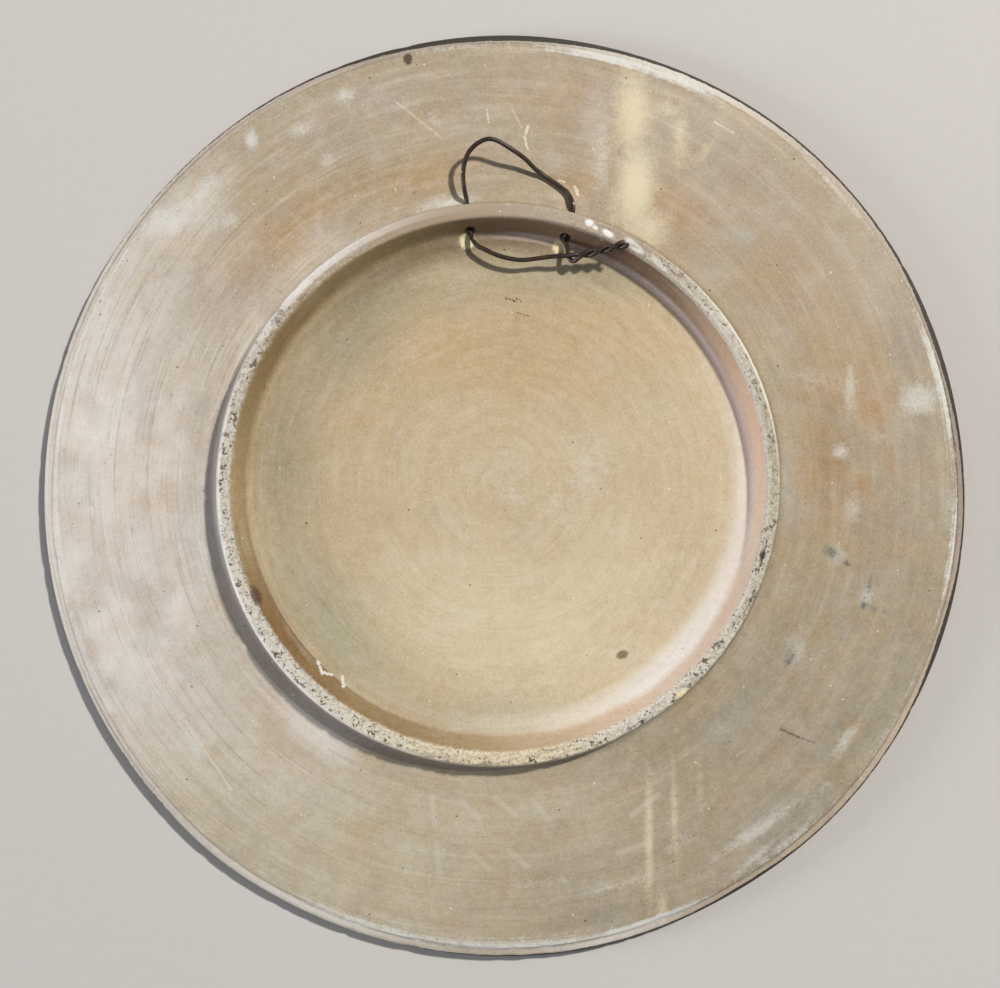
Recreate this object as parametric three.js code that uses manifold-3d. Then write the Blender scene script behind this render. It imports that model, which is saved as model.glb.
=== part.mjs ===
// A painted terracotta plate lying face down, with the wire it hangs by.
// Millimetres, +Z up out of the plate's back, origin under its centre on the resting plane.
import * as THREE from 'three';
import { mergeVertices } from 'three/addons/utils/BufferGeometryUtils.js';
import Module from 'manifold-3d';

// Rim and flange
const rimRadius = 165;
const rimWidestZ = 3.4;
const lipRadius = 161.4;
const lipZ = 6.3;
const lipStep = 0.6;
const restRadius = 160.5;
const restWidth = 2.4;
const flangeRootZ = 17.4;
const flangeSwell = 0.5;

// Painted side: a shallow dish, facing down
const dishDepth = 10;
const dishFloorRadius = 92;
const dishShoulderRadius = 107;
const dishShoulderZ = 7.6;

// Foot ring and the floor inside it, both thrown a little off the rim's centre
const footHeightZ = 26;
const footOuterRadius = 97.3;
const footInnerRadius = 92.5;
const footRootRadius = 98.9;
const coveRadius = 88.6;
const coveZ = 16.1;
const floorRingRadius = 84;
const floorCentreZ = 16.7;
const footShift = new THREE.Vector2(-2.4, 3.9);
const floorShift = new THREE.Vector2(-1.6, 3.9);

// Two holes drilled through the foot ring, rising outward
const holeRadius = 2;
const holeLength = 19;
const holeMidRadius = 94.5;
const holeMidZ = 19.3;
const holeRise = THREE.MathUtils.degToRad(9);
const holeAngles = [96.3, 74.8].map(THREE.MathUtils.degToRad);
const holeSides = 16;

// Wire
const wireRadius = 0.75;
const wireSteps = 216;
const wireSides = 6;
const wireInHole = -0.8;
const twistRadius = 0.87;
const twistTurns = 2.1;
const twistStart = new THREE.Vector3(24.4, 82.8, 23);
const twistEnd = new THREE.Vector3(42.6, 86.8, 28.6);
const twistFirstAngle = THREE.MathUtils.degToRad(30);
const twistPointsPerTurn = 12;

const turns = 88;

const wasm = await Module();
wasm.setup();

function manifoldOf(geometry) {
  const bare = geometry.clone();
  bare.deleteAttribute('normal');
  bare.deleteAttribute('uv');
  const merged = mergeVertices(bare, 1e-4);
  const corners = merged.index.array;
  const kept = [];
  for (let i = 0; i < corners.length; i += 3) {
    const face = [corners[i], corners[i + 1], corners[i + 2]];
    if (new Set(face).size === 3) {
      kept.push(...face);
    }
  }
  const mesh = new wasm.Mesh({
    numProp: 3,
    vertProperties: new Float32Array(merged.attributes.position.array),
    triVerts: new Uint32Array(kept),
  });
  return new wasm.Manifold(mesh);
}

function geometryOf(solid) {
  const mesh = solid.getMesh();
  const geometry = new THREE.BufferGeometry();
  geometry.setAttribute('position', new THREE.BufferAttribute(mesh.vertProperties, 3));
  geometry.setIndex(new THREE.BufferAttribute(mesh.triVerts, 1));
  geometry.computeVertexNormals();
  return geometry;
}

// Each corner is [radius, height, rounding, steps]; a rounding of 0 keeps it sharp.
function roundedProfile(corners) {
  const profile = [];
  corners.forEach(([radius, height, rounding, steps], i) => {
    const corner = new THREE.Vector2(radius, height);
    if (!rounding) {
      profile.push(corner);
      return;
    }
    const before = new THREE.Vector2(...corners[i - 1].slice(0, 2)).sub(corner);
    const after = new THREE.Vector2(...corners[i + 1].slice(0, 2)).sub(corner);
    const start = corner.clone().add(before.setLength(Math.min(rounding, before.length() * 0.49)));
    const end = corner.clone().add(after.setLength(Math.min(rounding, after.length() * 0.49)));
    const bend = new THREE.QuadraticBezierCurve(start, corner, end);
    profile.push(...bend.getPoints(steps));
  });
  return profile;
}

// The painted side from the middle of the dish out to the widest line of the rim.
const paintedSide = roundedProfile([
  [0, dishDepth, 0],
  [dishFloorRadius, dishDepth - 0.3, 12, 2],
  [dishShoulderRadius, dishShoulderZ, 8, 2],
  [restRadius - restWidth, 0, 2.5, 2],
  [restRadius + restWidth, 0, 2.5, 2],
  [rimRadius, rimWidestZ, 0],
]);

// The back from the widest line of the rim, over the foot ring, to the middle of the floor.
const back = roundedProfile([
  [rimRadius, rimWidestZ, 0],
  [rimRadius - 0.6, lipZ - 0.7, 1.2, 2],
  [lipRadius, lipZ, 0],
  [lipRadius - 0.3, lipZ + lipStep, 0.3, 2],
  [(lipRadius + footRootRadius) / 2, (lipZ + lipStep + flangeRootZ) / 2 + flangeSwell, 20, 2],
  [footRootRadius, flangeRootZ, 2, 3],
  [footOuterRadius, footHeightZ, 0.9, 2],
  [footInnerRadius, footHeightZ, 0.9, 2],
  [coveRadius, coveZ, 3, 3],
  [floorRingRadius, coveZ - 0.1, 0],
  [0, floorCentreZ, 0],
]).slice(1);

// How far a point of the back is carried off the rim's centre with the foot.
function shiftOf(point) {
  if (point.x < (footInnerRadius + footOuterRadius) / 2) {
    return floorShift;
  }
  const share = (lipRadius - point.x) / (lipRadius - footRootRadius);
  return footShift.clone().multiplyScalar(THREE.MathUtils.clamp(share, 0, 1));
}

function turnedPlate() {
  const profile = [...paintedSide, ...back];
  const geometry = new THREE.LatheGeometry(profile, turns);
  geometry.rotateX(Math.PI / 2);
  const position = geometry.attributes.position;
  for (let i = 0; i < position.count; i += 1) {
    const row = i % profile.length;
    if (row >= paintedSide.length) {
      const shift = shiftOf(profile[row]);
      position.setX(i, position.getX(i) + shift.x);
      position.setY(i, position.getY(i) + shift.y);
    }
  }
  return geometry;
}

// A place along a hole's axis, measured outward from the middle of the ring's wall.
function alongHole(angle, outward, lift = 0) {
  const radius = holeMidRadius + outward * Math.cos(holeRise);
  return new THREE.Vector3(
    footShift.x + radius * Math.cos(angle),
    footShift.y + radius * Math.sin(angle),
    holeMidZ + outward * Math.sin(holeRise) + lift,
  );
}

function drill(angle) {
  const outward = alongHole(angle, 1).sub(alongHole(angle, 0));
  const turn = new THREE.Quaternion().setFromUnitVectors(new THREE.Vector3(0, 1, 0), outward.normalize());
  const geometry = new THREE.CylinderGeometry(holeRadius, holeRadius, holeLength, holeSides);
  const middle = alongHole(angle, 0.8);
  geometry.applyQuaternion(turn);
  geometry.translate(middle.x, middle.y, middle.z);
  return manifoldOf(geometry);
}

function makePlate() {
  let solid = manifoldOf(turnedPlate());
  for (const angle of holeAngles) {
    solid = solid.subtract(drill(angle));
  }
  return geometryOf(solid);
}

// One of the two strands that wind round each other, between two shares of the twist's length.
function strand(firstAngle, from, to) {
  const along = twistEnd.clone().sub(twistStart);
  const up = new THREE.Vector3(0, 0, 1);
  const side = up.clone().cross(along).normalize();
  const over = along.clone().cross(side).normalize();
  const count = Math.round(twistTurns * twistPointsPerTurn * (to - from));
  const points = [];
  for (let i = 0; i <= count; i += 1) {
    const share = from + (i / count) * (to - from);
    const angle = firstAngle - share * twistTurns * 2 * Math.PI;
    const point = twistStart.clone().addScaledVector(along, share);
    point.addScaledVector(side, twistRadius * Math.cos(angle));
    point.addScaledVector(over, twistRadius * Math.sin(angle));
    points.push(point);
  }
  return points;
}

function throughHole(angle) {
  return [-5.5, 0, 6].map((outward) => alongHole(angle, outward, wireInHole));
}

function makeWire() {
  const innerRun = [
    [20.2, 82.9, 23.3],
    [16.2, 83, 22.5],
    [11.2, 82.4, 22.2],
    [6.3, 81.9, 22],
    [1.8, 82.4, 21.9],
    [-2.7, 83.7, 21.6],
    [-7.1, 85.8, 21],
    [-10, 87.5, 20],
  ];
  const loop = [
    [-14.1, 107, 20.4],
    [-14.5, 111.8, 21.2],
    [-13.8, 116.2, 22],
    [-12.1, 119.7, 22.7],
    [-9.1, 122.4, 23.1],
    [-5.6, 123.7, 23.3],
    [-3.1, 123.3, 23.2],
    [-0.2, 121.9, 22.9],
    [3.3, 119.8, 22.2],
    [6.8, 117.6, 20.9],
    [10.8, 114.1, 18.9],
    [13.9, 112, 18],
    [18.9, 108.5, 18],
    [22.2, 105.6, 18.6],
  ];
  const stub = [
    [21.7, 87.4, 18.9],
    [22.2, 85.4, 20.4],
    [23, 83.5, 21.3],
    [24.2, 82.2, 21.9],
  ];
  const place = (list) => list.map((at) => new THREE.Vector3(...at));
  const route = [
    ...strand(twistFirstAngle, 0, 1).reverse(),
    ...place(innerRun),
    ...throughHole(holeAngles[0]),
    ...place(loop),
    ...throughHole(holeAngles[1]).reverse(),
    ...place(stub),
    ...strand(twistFirstAngle - Math.PI, 0.05, 0.93),
  ];
  const path = new THREE.CatmullRomCurve3(route, false, 'centripetal');
  const section = new THREE.Shape().absarc(0, 0, wireRadius, 0, 2 * Math.PI);
  return new THREE.ExtrudeGeometry(section, {
    steps: wireSteps,
    curveSegments: wireSides / 2,
    extrudePath: path,
    bevelEnabled: false,
  });
}

const clay = new THREE.MeshStandardMaterial({
  name: 'clay',
  color: 0xb39d80,
  roughness: 0.75,
  metalness: 0,
});
const iron = new THREE.MeshStandardMaterial({
  name: 'iron',
  color: 0x3b312b,
  roughness: 0.6,
  metalness: 0.7,
});

const object = new THREE.Group();
const plate = new THREE.Mesh(makePlate(), clay);
plate.name = 'plate';
const wireHanger = new THREE.Mesh(makeWire(), iron);
wireHanger.name = 'wire_hanger';
object.add(plate, wireHanger);

export default object;
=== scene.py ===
import math
from types import SimpleNamespace

import bpy
import numpy as np
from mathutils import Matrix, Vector


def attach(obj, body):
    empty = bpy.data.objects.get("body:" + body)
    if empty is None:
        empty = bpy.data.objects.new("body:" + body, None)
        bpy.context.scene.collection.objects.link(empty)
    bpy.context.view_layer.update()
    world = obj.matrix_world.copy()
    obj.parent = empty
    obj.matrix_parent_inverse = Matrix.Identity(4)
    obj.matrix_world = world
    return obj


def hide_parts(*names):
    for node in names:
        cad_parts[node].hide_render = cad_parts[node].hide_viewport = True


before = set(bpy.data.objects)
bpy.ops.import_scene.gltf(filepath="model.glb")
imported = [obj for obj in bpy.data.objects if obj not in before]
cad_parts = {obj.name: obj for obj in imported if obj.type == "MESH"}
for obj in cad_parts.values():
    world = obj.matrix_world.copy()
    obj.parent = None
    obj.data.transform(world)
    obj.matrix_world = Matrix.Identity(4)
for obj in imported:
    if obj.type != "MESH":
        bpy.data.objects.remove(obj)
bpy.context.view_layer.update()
print("frame loaded")

mm = 0.001  # sizes below are in millimetres unless a line says otherwise


def tone(code):
    parts = [int(code[k:k + 2], 16) / 255 for k in (1, 3, 5)]
    return tuple(c / 12.92 if c <= 0.04045 else ((c + 0.055) / 1.055) ** 2.4 for c in parts) + (1.0,)


# plate shape

plateShape = {
    "columns": 560,
    "footShift": (-2.4, 3.9),  # the foot ring sits off the rim's centre
    "floorShift": (-1.6, 3.9),
    "lipRadius": 161.4,
    "footRootRadius": 98.9,
    "footMiddleRadius": 95.0,
    "footHeight": 26.0,
    "seed": 11,
    # radius, height, rounding, steps of the rounding, row spacing of the run that follows
    "paintedSide": [
        (0.0, 10.0, 0, 0, 15.0),
        (92.0, 9.7, 12.0, 4, 5.0),
        (107.0, 7.6, 8.0, 3, 9.0),
        (158.1, 0.0, 2.5, 3, 2.4),
        (162.9, 0.0, 2.5, 4, 1.2),
        (165.0, 3.4, 0, 0, 1.0),
    ],
    "back": [
        (165.0, 3.4, 0, 0, 0.6),
        (164.4, 5.6, 1.2, 5, 0.6),
        (161.4, 6.3, 0.25, 2, 0.3),
        (161.1, 6.9, 0.3, 2, 0.9),
        (156.5, 7.755, 0, 0, 2.2),
        (130.15, 12.65, 20.0, 5, 2.2),
        (98.9, 17.4, 2.0, 6, 1.1),
        (97.3, 26.0, 0.9, 5, 0.45),
        (92.5, 26.0, 0.9, 5, 0.9),
        (88.6, 16.1, 3.0, 7, 1.2),
        (84.0, 16.0, 0.8, 2, 3.4),
        (0.0, 16.7, 0, 0, 3.4),
    ],
    "rimWobble": 0.28,  # how far the hand-made rim strays from round
    "rimBulge": (232.0, 9.0, 0.7),  # degrees, half width in degrees, height
    "flangeRipple": 0.13,
    "floorRipple": 0.09,
    # millimetres across and cells round of the broad and the close ripples, share of the close ones
    "rippleGrain": ((5.0, 9), (2.6, 16), 0.6),
    "lipNicks": 0.28,
    # millimetres and cells round, the values where a nick starts and is full, share
    "nickGrain": [(2.5, 300, (0.62, 1.0), 1.0), (1.3, 600, (0.7, 1.0), 0.6)],
    "ringPits": 0.62,
    # millimetres across, cells round and share of the coarse, middle and fine grain of the foot ring
    "pitGrain": [(2.2, 180, 0.35), (1.1, 420, 0.4), (0.6, 600, 0.35)],
    "pitStart": (0.5, 0.95),
    "smoothTop": (97.0, 26.0, 0.8),  # degrees, half width, how much of the wear is missing there
    # radii or heights between which an effect fades in, or fades out where the first is the larger
    "wornHeights": (22.5, 25.4),
    "wornStart": (92.7, 93.9),
    "flangeStart": (103.0, 108.0),
    "flangeEnd": (160.0, 155.0),
    "floorEnd": (86.0, 80.0),
    "lipStart": (160.4, 161.2),
    "lipHeights": (0.8, 2.4),
    "roundStart": (105.0, 160.0),
    "outerWallStart": (95.4, 96.6),
    "outerWallEnd": (99.6, 98.4),
    "outerWallHeights": (17.6, 19.0),
    "footStart": (86.0, 90.0),
    "footEnd": (101.0, 98.9),
    "footHeights": (16.4, 19.0),
    # degrees round the foot, half width in degrees, how far the outer wall falls back
    "footDents": [(176.0, 24.0, 0.75), (262.0, 14.0, 0.1), (300.0, 14.0, 0.4)],
    # where the whole ring stands further out
    "footSwell": [(224.0, 35.0, 0.85), (22.0, 22.0, 0.3)],
    # degrees round the foot, radius, length, width, depth
    "ringChips": [
        (142.0, 95.6, 2.6, 1.6, 1.0),
        (-15.5, 94.0, 5.0, 1.1, 0.9),
        (-25.0, 96.4, 6.0, 1.3, 0.8),
        (-46.0, 96.6, 4.0, 1.2, 0.9),
        (-31.0, 93.6, 2.2, 1.2, 0.8),
        (196.0, 93.4, 5.0, 1.0, 0.6),
        (212.0, 97.0, 3.0, 1.0, 0.7),
        (238.0, 93.0, 4.0, 1.2, 0.6),
        (256.0, 96.8, 6.0, 1.0, 0.6),
        (281.0, 93.4, 5.0, 1.2, 0.7),
        (301.0, 96.8, 3.5, 1.2, 0.9),
        (62.0, 93.2, 4.0, 1.0, 0.5),
    ],
    "holeRadius": 2.0,
    "holeLength": 19.0,
    "holeOutward": 0.8,  # how far the drill's middle lies out from the middle of the wall
    "holeMiddleRadius": 94.5,
    "holeMiddleHeight": 19.3,
    "holeRise": math.radians(9.0),
    "holeAngles": (math.radians(96.3), math.radians(74.8)),
    "holeSides": 28,
    "holeSeed": 40,
    "breakout": (3.5, 1.8, 1.9),  # half sizes of the chip under each inner mouth
    "breakoutPlace": (-7.2, -1.7),  # along the hole from the middle of the wall, and up
    "breakoutRagged": (0.78, 1.12),
    "sharpAngle": math.radians(50),
}


def roundedProfile(corners):
    points = []
    spacings = []
    for i, (radius, height, rounding, steps, spacing) in enumerate(corners):
        corner = Vector((radius, height))
        if rounding == 0:
            points.append(corner)
            spacings.append(spacing)
            continue
        before = Vector(corners[i - 1][:2]) - corner
        after = Vector(corners[i + 1][:2]) - corner
        start = corner + before.normalized() * min(rounding, before.length * 0.49)
        end = corner + after.normalized() * min(rounding, after.length * 0.49)
        for step in range(steps + 1):
            t = step / steps
            points.append(start * (1 - t) ** 2 + corner * (2 * t * (1 - t)) + end * t * t)
            spacings.append(spacing)
    rows = [points[0]]
    for a, b, spacing in zip(points, points[1:], spacings):
        pieces = max(1, math.ceil((b - a).length / spacing))
        rows.extend(a.lerp(b, k / pieces) for k in range(1, pieces + 1))
    return np.array([tuple(row) for row in rows])


def smoothStep(low, high, value):
    t = np.clip((value - low) / (high - low), 0.0, 1.0)
    return t * t * (3.0 - 2.0 * t)


def ramp(value, span):
    return smoothStep(span[0], span[1], value)


# random values from 0 to 1 on a grid that closes round the plate, read smoothly
def ringNoise(across, turn, cellsRound, seed):
    cellsAcross = int(across.max()) + 2
    grid = np.random.default_rng(seed).random((cellsAcross, cellsRound))
    v = turn / (2 * math.pi) * cellsRound
    u0 = np.floor(across).astype(int)
    v0 = np.floor(v).astype(int)
    fu = smoothStep(0.0, 1.0, across - u0)
    fv = smoothStep(0.0, 1.0, v - v0)
    v0 = v0 % cellsRound
    v1 = (v0 + 1) % cellsRound
    low = grid[u0, v0] * (1 - fv) + grid[u0, v1] * fv
    high = grid[u0 + 1, v0] * (1 - fv) + grid[u0 + 1, v1] * fv
    return low * (1 - fu) + high * fu


def angleAway(turn, degrees):
    away = np.degrees(turn) - degrees
    return (away + 180.0) % 360.0 - 180.0


def roundMask(turn, at, width):
    return np.exp(-(angleAway(turn, at) / width) ** 2)


def roundnessOffset(turn):
    rng = np.random.default_rng(plateShape["seed"])
    offset = np.zeros_like(turn)
    for waves in range(2, 12):
        size = plateShape["rimWobble"] / math.sqrt(waves)
        offset += size * rng.uniform(-1, 1) * np.sin(waves * turn + rng.uniform(0, 6.28))
    at, width, height = plateShape["rimBulge"]
    offset += height * roundMask(turn, at, width)
    return offset


def wornRing(radius, height, turn):
    seed = plateShape["seed"]
    grains = []
    mixed = 0.0
    for number, (size, cells, share) in enumerate(plateShape["pitGrain"], 1):
        grains.append(ringNoise(radius / size, turn, cells, seed + number))
        mixed = mixed + share * grains[-1]
    middle = grains[1]
    at, width, missing = plateShape["smoothTop"]
    worn = 1.0 - missing * roundMask(turn, at, width)
    pits = ramp(mixed, plateShape["pitStart"])
    depth = plateShape["ringPits"] * worn * (pits + 0.16 * middle)
    for at, where, length, width, deep in plateShape["ringChips"]:
        along = np.radians(angleAway(turn, at)) * where
        reach = (along / length) ** 2 + ((radius - where) / width) ** 2
        depth += deep * np.exp(-reach) * (0.6 + 0.8 * middle)
    return depth * ramp(height, plateShape["wornHeights"]) * ramp(radius, plateShape["wornStart"])


def buildPlateMesh():
    seed = plateShape["seed"]
    columns = plateShape["columns"]
    painted = roundedProfile(plateShape["paintedSide"])
    back = roundedProfile(plateShape["back"])[1:]
    profile = np.vstack([painted, back])
    onBack = np.arange(len(profile)) >= len(painted)
    inner = profile[1:-1]  # the two ends lie on the axis
    innerOnBack = onBack[1:-1]
    angles = np.arange(columns) * (2 * math.pi / columns)
    radius, turn = np.meshgrid(inner[:, 0], angles, indexing="ij")
    height = np.meshgrid(inner[:, 1], angles, indexing="ij")[0]
    backMask = np.meshgrid(innerOnBack, angles, indexing="ij")[0].astype(float)

    depth = wornRing(radius, height, turn) * backMask
    (broadSize, broadCells), (closeSize, closeCells), closeShare = plateShape["rippleGrain"]
    ripple = ringNoise(radius / broadSize, turn, broadCells, seed + 5) - 0.5
    ripple += closeShare * (ringNoise(radius / closeSize, turn, closeCells, seed + 6) - 0.5)
    onFlange = ramp(radius, plateShape["flangeStart"]) * ramp(radius, plateShape["flangeEnd"])
    onFloor = ramp(radius, plateShape["floorEnd"])
    lift = plateShape["flangeRipple"] * ripple * onFlange
    lift += plateShape["floorRipple"] * ripple * onFloor

    nick = 0.0
    for number, (size, cells, start, share) in enumerate(plateShape["nickGrain"], 7):
        nick = nick + share * ramp(ringNoise(height / size, turn, cells, seed + number), start)
    onLip = ramp(radius, plateShape["lipStart"]) * ramp(height, plateShape["lipHeights"])
    pull = plateShape["lipNicks"] * nick * onLip

    newHeight = height - depth + lift * backMask - 0.5 * pull
    outOfRound = roundnessOffset(turn) * ramp(radius, plateShape["roundStart"])
    newRadius = radius + outOfRound - pull
    newRadius -= 0.25 * depth * np.sign(radius - plateShape["footMiddleRadius"])  # pits open to both sides

    onOuterWall = ramp(radius, plateShape["outerWallStart"]) * ramp(radius, plateShape["outerWallEnd"])
    onOuterWall *= ramp(height, plateShape["outerWallHeights"])
    for at, width, inward in plateShape["footDents"]:
        newRadius = newRadius - inward * onOuterWall * roundMask(turn, at, width)

    onFoot = ramp(radius, plateShape["footStart"]) * ramp(radius, plateShape["footEnd"])
    onFoot *= ramp(height, plateShape["footHeights"]) * backMask
    for at, width, out in plateShape["footSwell"]:
        newRadius = newRadius + out * onFoot * roundMask(turn, at, width)

    lip = plateShape["lipRadius"]
    share = np.clip((lip - radius) / (lip - plateShape["footRootRadius"]), 0.0, 1.0) * backMask
    inside = (radius < plateShape["footMiddleRadius"]) * backMask
    footX, footY = plateShape["footShift"]
    floorX, floorY = plateShape["floorShift"]
    shiftX = np.where(inside > 0, floorX, footX * share)
    shiftY = np.where(inside > 0, floorY, footY * share)
    x = newRadius * np.cos(turn) + shiftX
    y = newRadius * np.sin(turn) + shiftY

    rows = len(inner)
    verts = np.stack([x, y, newHeight], axis=2).reshape(-1, 3)
    poles = np.array([[0.0, 0.0, profile[0, 1]], [floorX, floorY, profile[-1, 1]]])
    verts = np.vstack([verts, poles]) * mm
    frontPole = rows * columns
    backPole = frontPole + 1

    here = np.arange(columns)
    after = (here + 1) % columns
    base = (np.arange(rows - 1) * columns)[:, None]
    quads = np.stack(
        [base + here, base + after, base + columns + after, base + columns + here], axis=2
    ).reshape(-1, 4)
    last = (rows - 1) * columns
    faces = quads.tolist()
    faces += [[frontPole, int(b), int(a)] for a, b in zip(here, after)]
    faces += [[last + int(a), last + int(b), backPole] for a, b in zip(here, after)]
    paintedRows = int((~innerOnBack).sum())
    quadSide = np.repeat((np.arange(rows - 1) < paintedRows - 1).astype(int), columns)
    side = np.concatenate([quadSide, np.ones(columns, int), np.zeros(columns, int)])

    mesh = bpy.data.meshes.new("plateBody")
    mesh.from_pydata(verts.tolist(), [], faces)
    mesh.polygons.foreach_set("material_index", side)
    mesh.update()
    return mesh


def alongHole(angle, outward, lift=0.0):
    radius = plateShape["holeMiddleRadius"] + outward * math.cos(plateShape["holeRise"])
    height = plateShape["holeMiddleHeight"] + outward * math.sin(plateShape["holeRise"]) + lift
    footX, footY = plateShape["footShift"]
    return Vector((footX + radius * math.cos(angle), footY + radius * math.sin(angle), height))


# a drill bit with a ragged lump where it broke out through the cove
def buildDrill(angle, seed):
    rng = np.random.default_rng(seed)
    middle = alongHole(angle, plateShape["holeOutward"])
    outward = (alongHole(angle, 1.0) - alongHole(angle, 0.0)).normalized()
    side = Vector((0, 0, 1)).cross(outward).normalized()
    over = outward.cross(side)
    sides = plateShape["holeSides"]
    verts = []
    for end in (-0.5, 0.5):
        for k in range(sides):
            turn = 2 * math.pi * k / sides
            ray = side * math.cos(turn) + over * math.sin(turn)
            onAxis = middle + outward * (end * plateShape["holeLength"])
            verts.append((onAxis + ray * plateShape["holeRadius"]) * mm)
    faces = [list(range(sides - 1, -1, -1)), list(range(sides, 2 * sides))]
    for k in range(sides):
        nextOne = (k + 1) % sides
        faces.append([k, nextOne, sides + nextOne, sides + k])
    rod = bpy.data.meshes.new("drillRod")
    rod.from_pydata(verts, [], faces)

    lump = bpy.data.meshes.new("breakout")
    ball = bpy.data.objects.new("breakout", lump)
    bpy.ops.mesh.primitive_ico_sphere_add(subdivisions=2, radius=1.0)
    source = bpy.context.object
    points = [v.co.copy() for v in source.data.vertices]
    tris = [list(p.vertices) for p in source.data.polygons]
    bpy.data.objects.remove(source)
    wide, deep, tall = plateShape["breakout"]
    mouth = alongHole(angle, *plateShape["breakoutPlace"])
    placed = []
    for point in points:
        grown = point * rng.uniform(*plateShape["breakoutRagged"])
        spot = mouth + side * (grown.x * wide) + outward * (grown.y * deep)
        placed.append((spot + over * (grown.z * tall)) * mm)
    lump.from_pydata(placed, [], tris)
    return bpy.data.objects.new("drillRod", rod), ball


def cutOut(target, cutter):
    bpy.context.scene.collection.objects.link(cutter)
    cut = target.modifiers.new("cut", "BOOLEAN")
    cut.operation = "DIFFERENCE"
    cut.solver = "EXACT"
    cut.object = cutter
    evaluated = target.evaluated_get(bpy.context.evaluated_depsgraph_get())
    made = bpy.data.meshes.new_from_object(evaluated)
    target.modifiers.clear()
    old = target.data
    target.data = made
    bpy.data.meshes.remove(old)
    bpy.data.objects.remove(cutter)


plate = bpy.data.objects.new("plate_painted_clay", buildPlateMesh())
bpy.context.scene.collection.objects.link(plate)
for number, holeAngle in enumerate(plateShape["holeAngles"]):
    for bit in buildDrill(holeAngle, plateShape["holeSeed"] + number):
        cutOut(plate, bit)
plate.data.polygons.foreach_set("use_smooth", [True] * len(plate.data.polygons))
plate.data.set_sharp_from_angle(angle=plateShape["sharpAngle"])
print("plate mesh", len(plate.data.polygons), "faces")

# ground colours of the back, kept on the mesh's points

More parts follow.
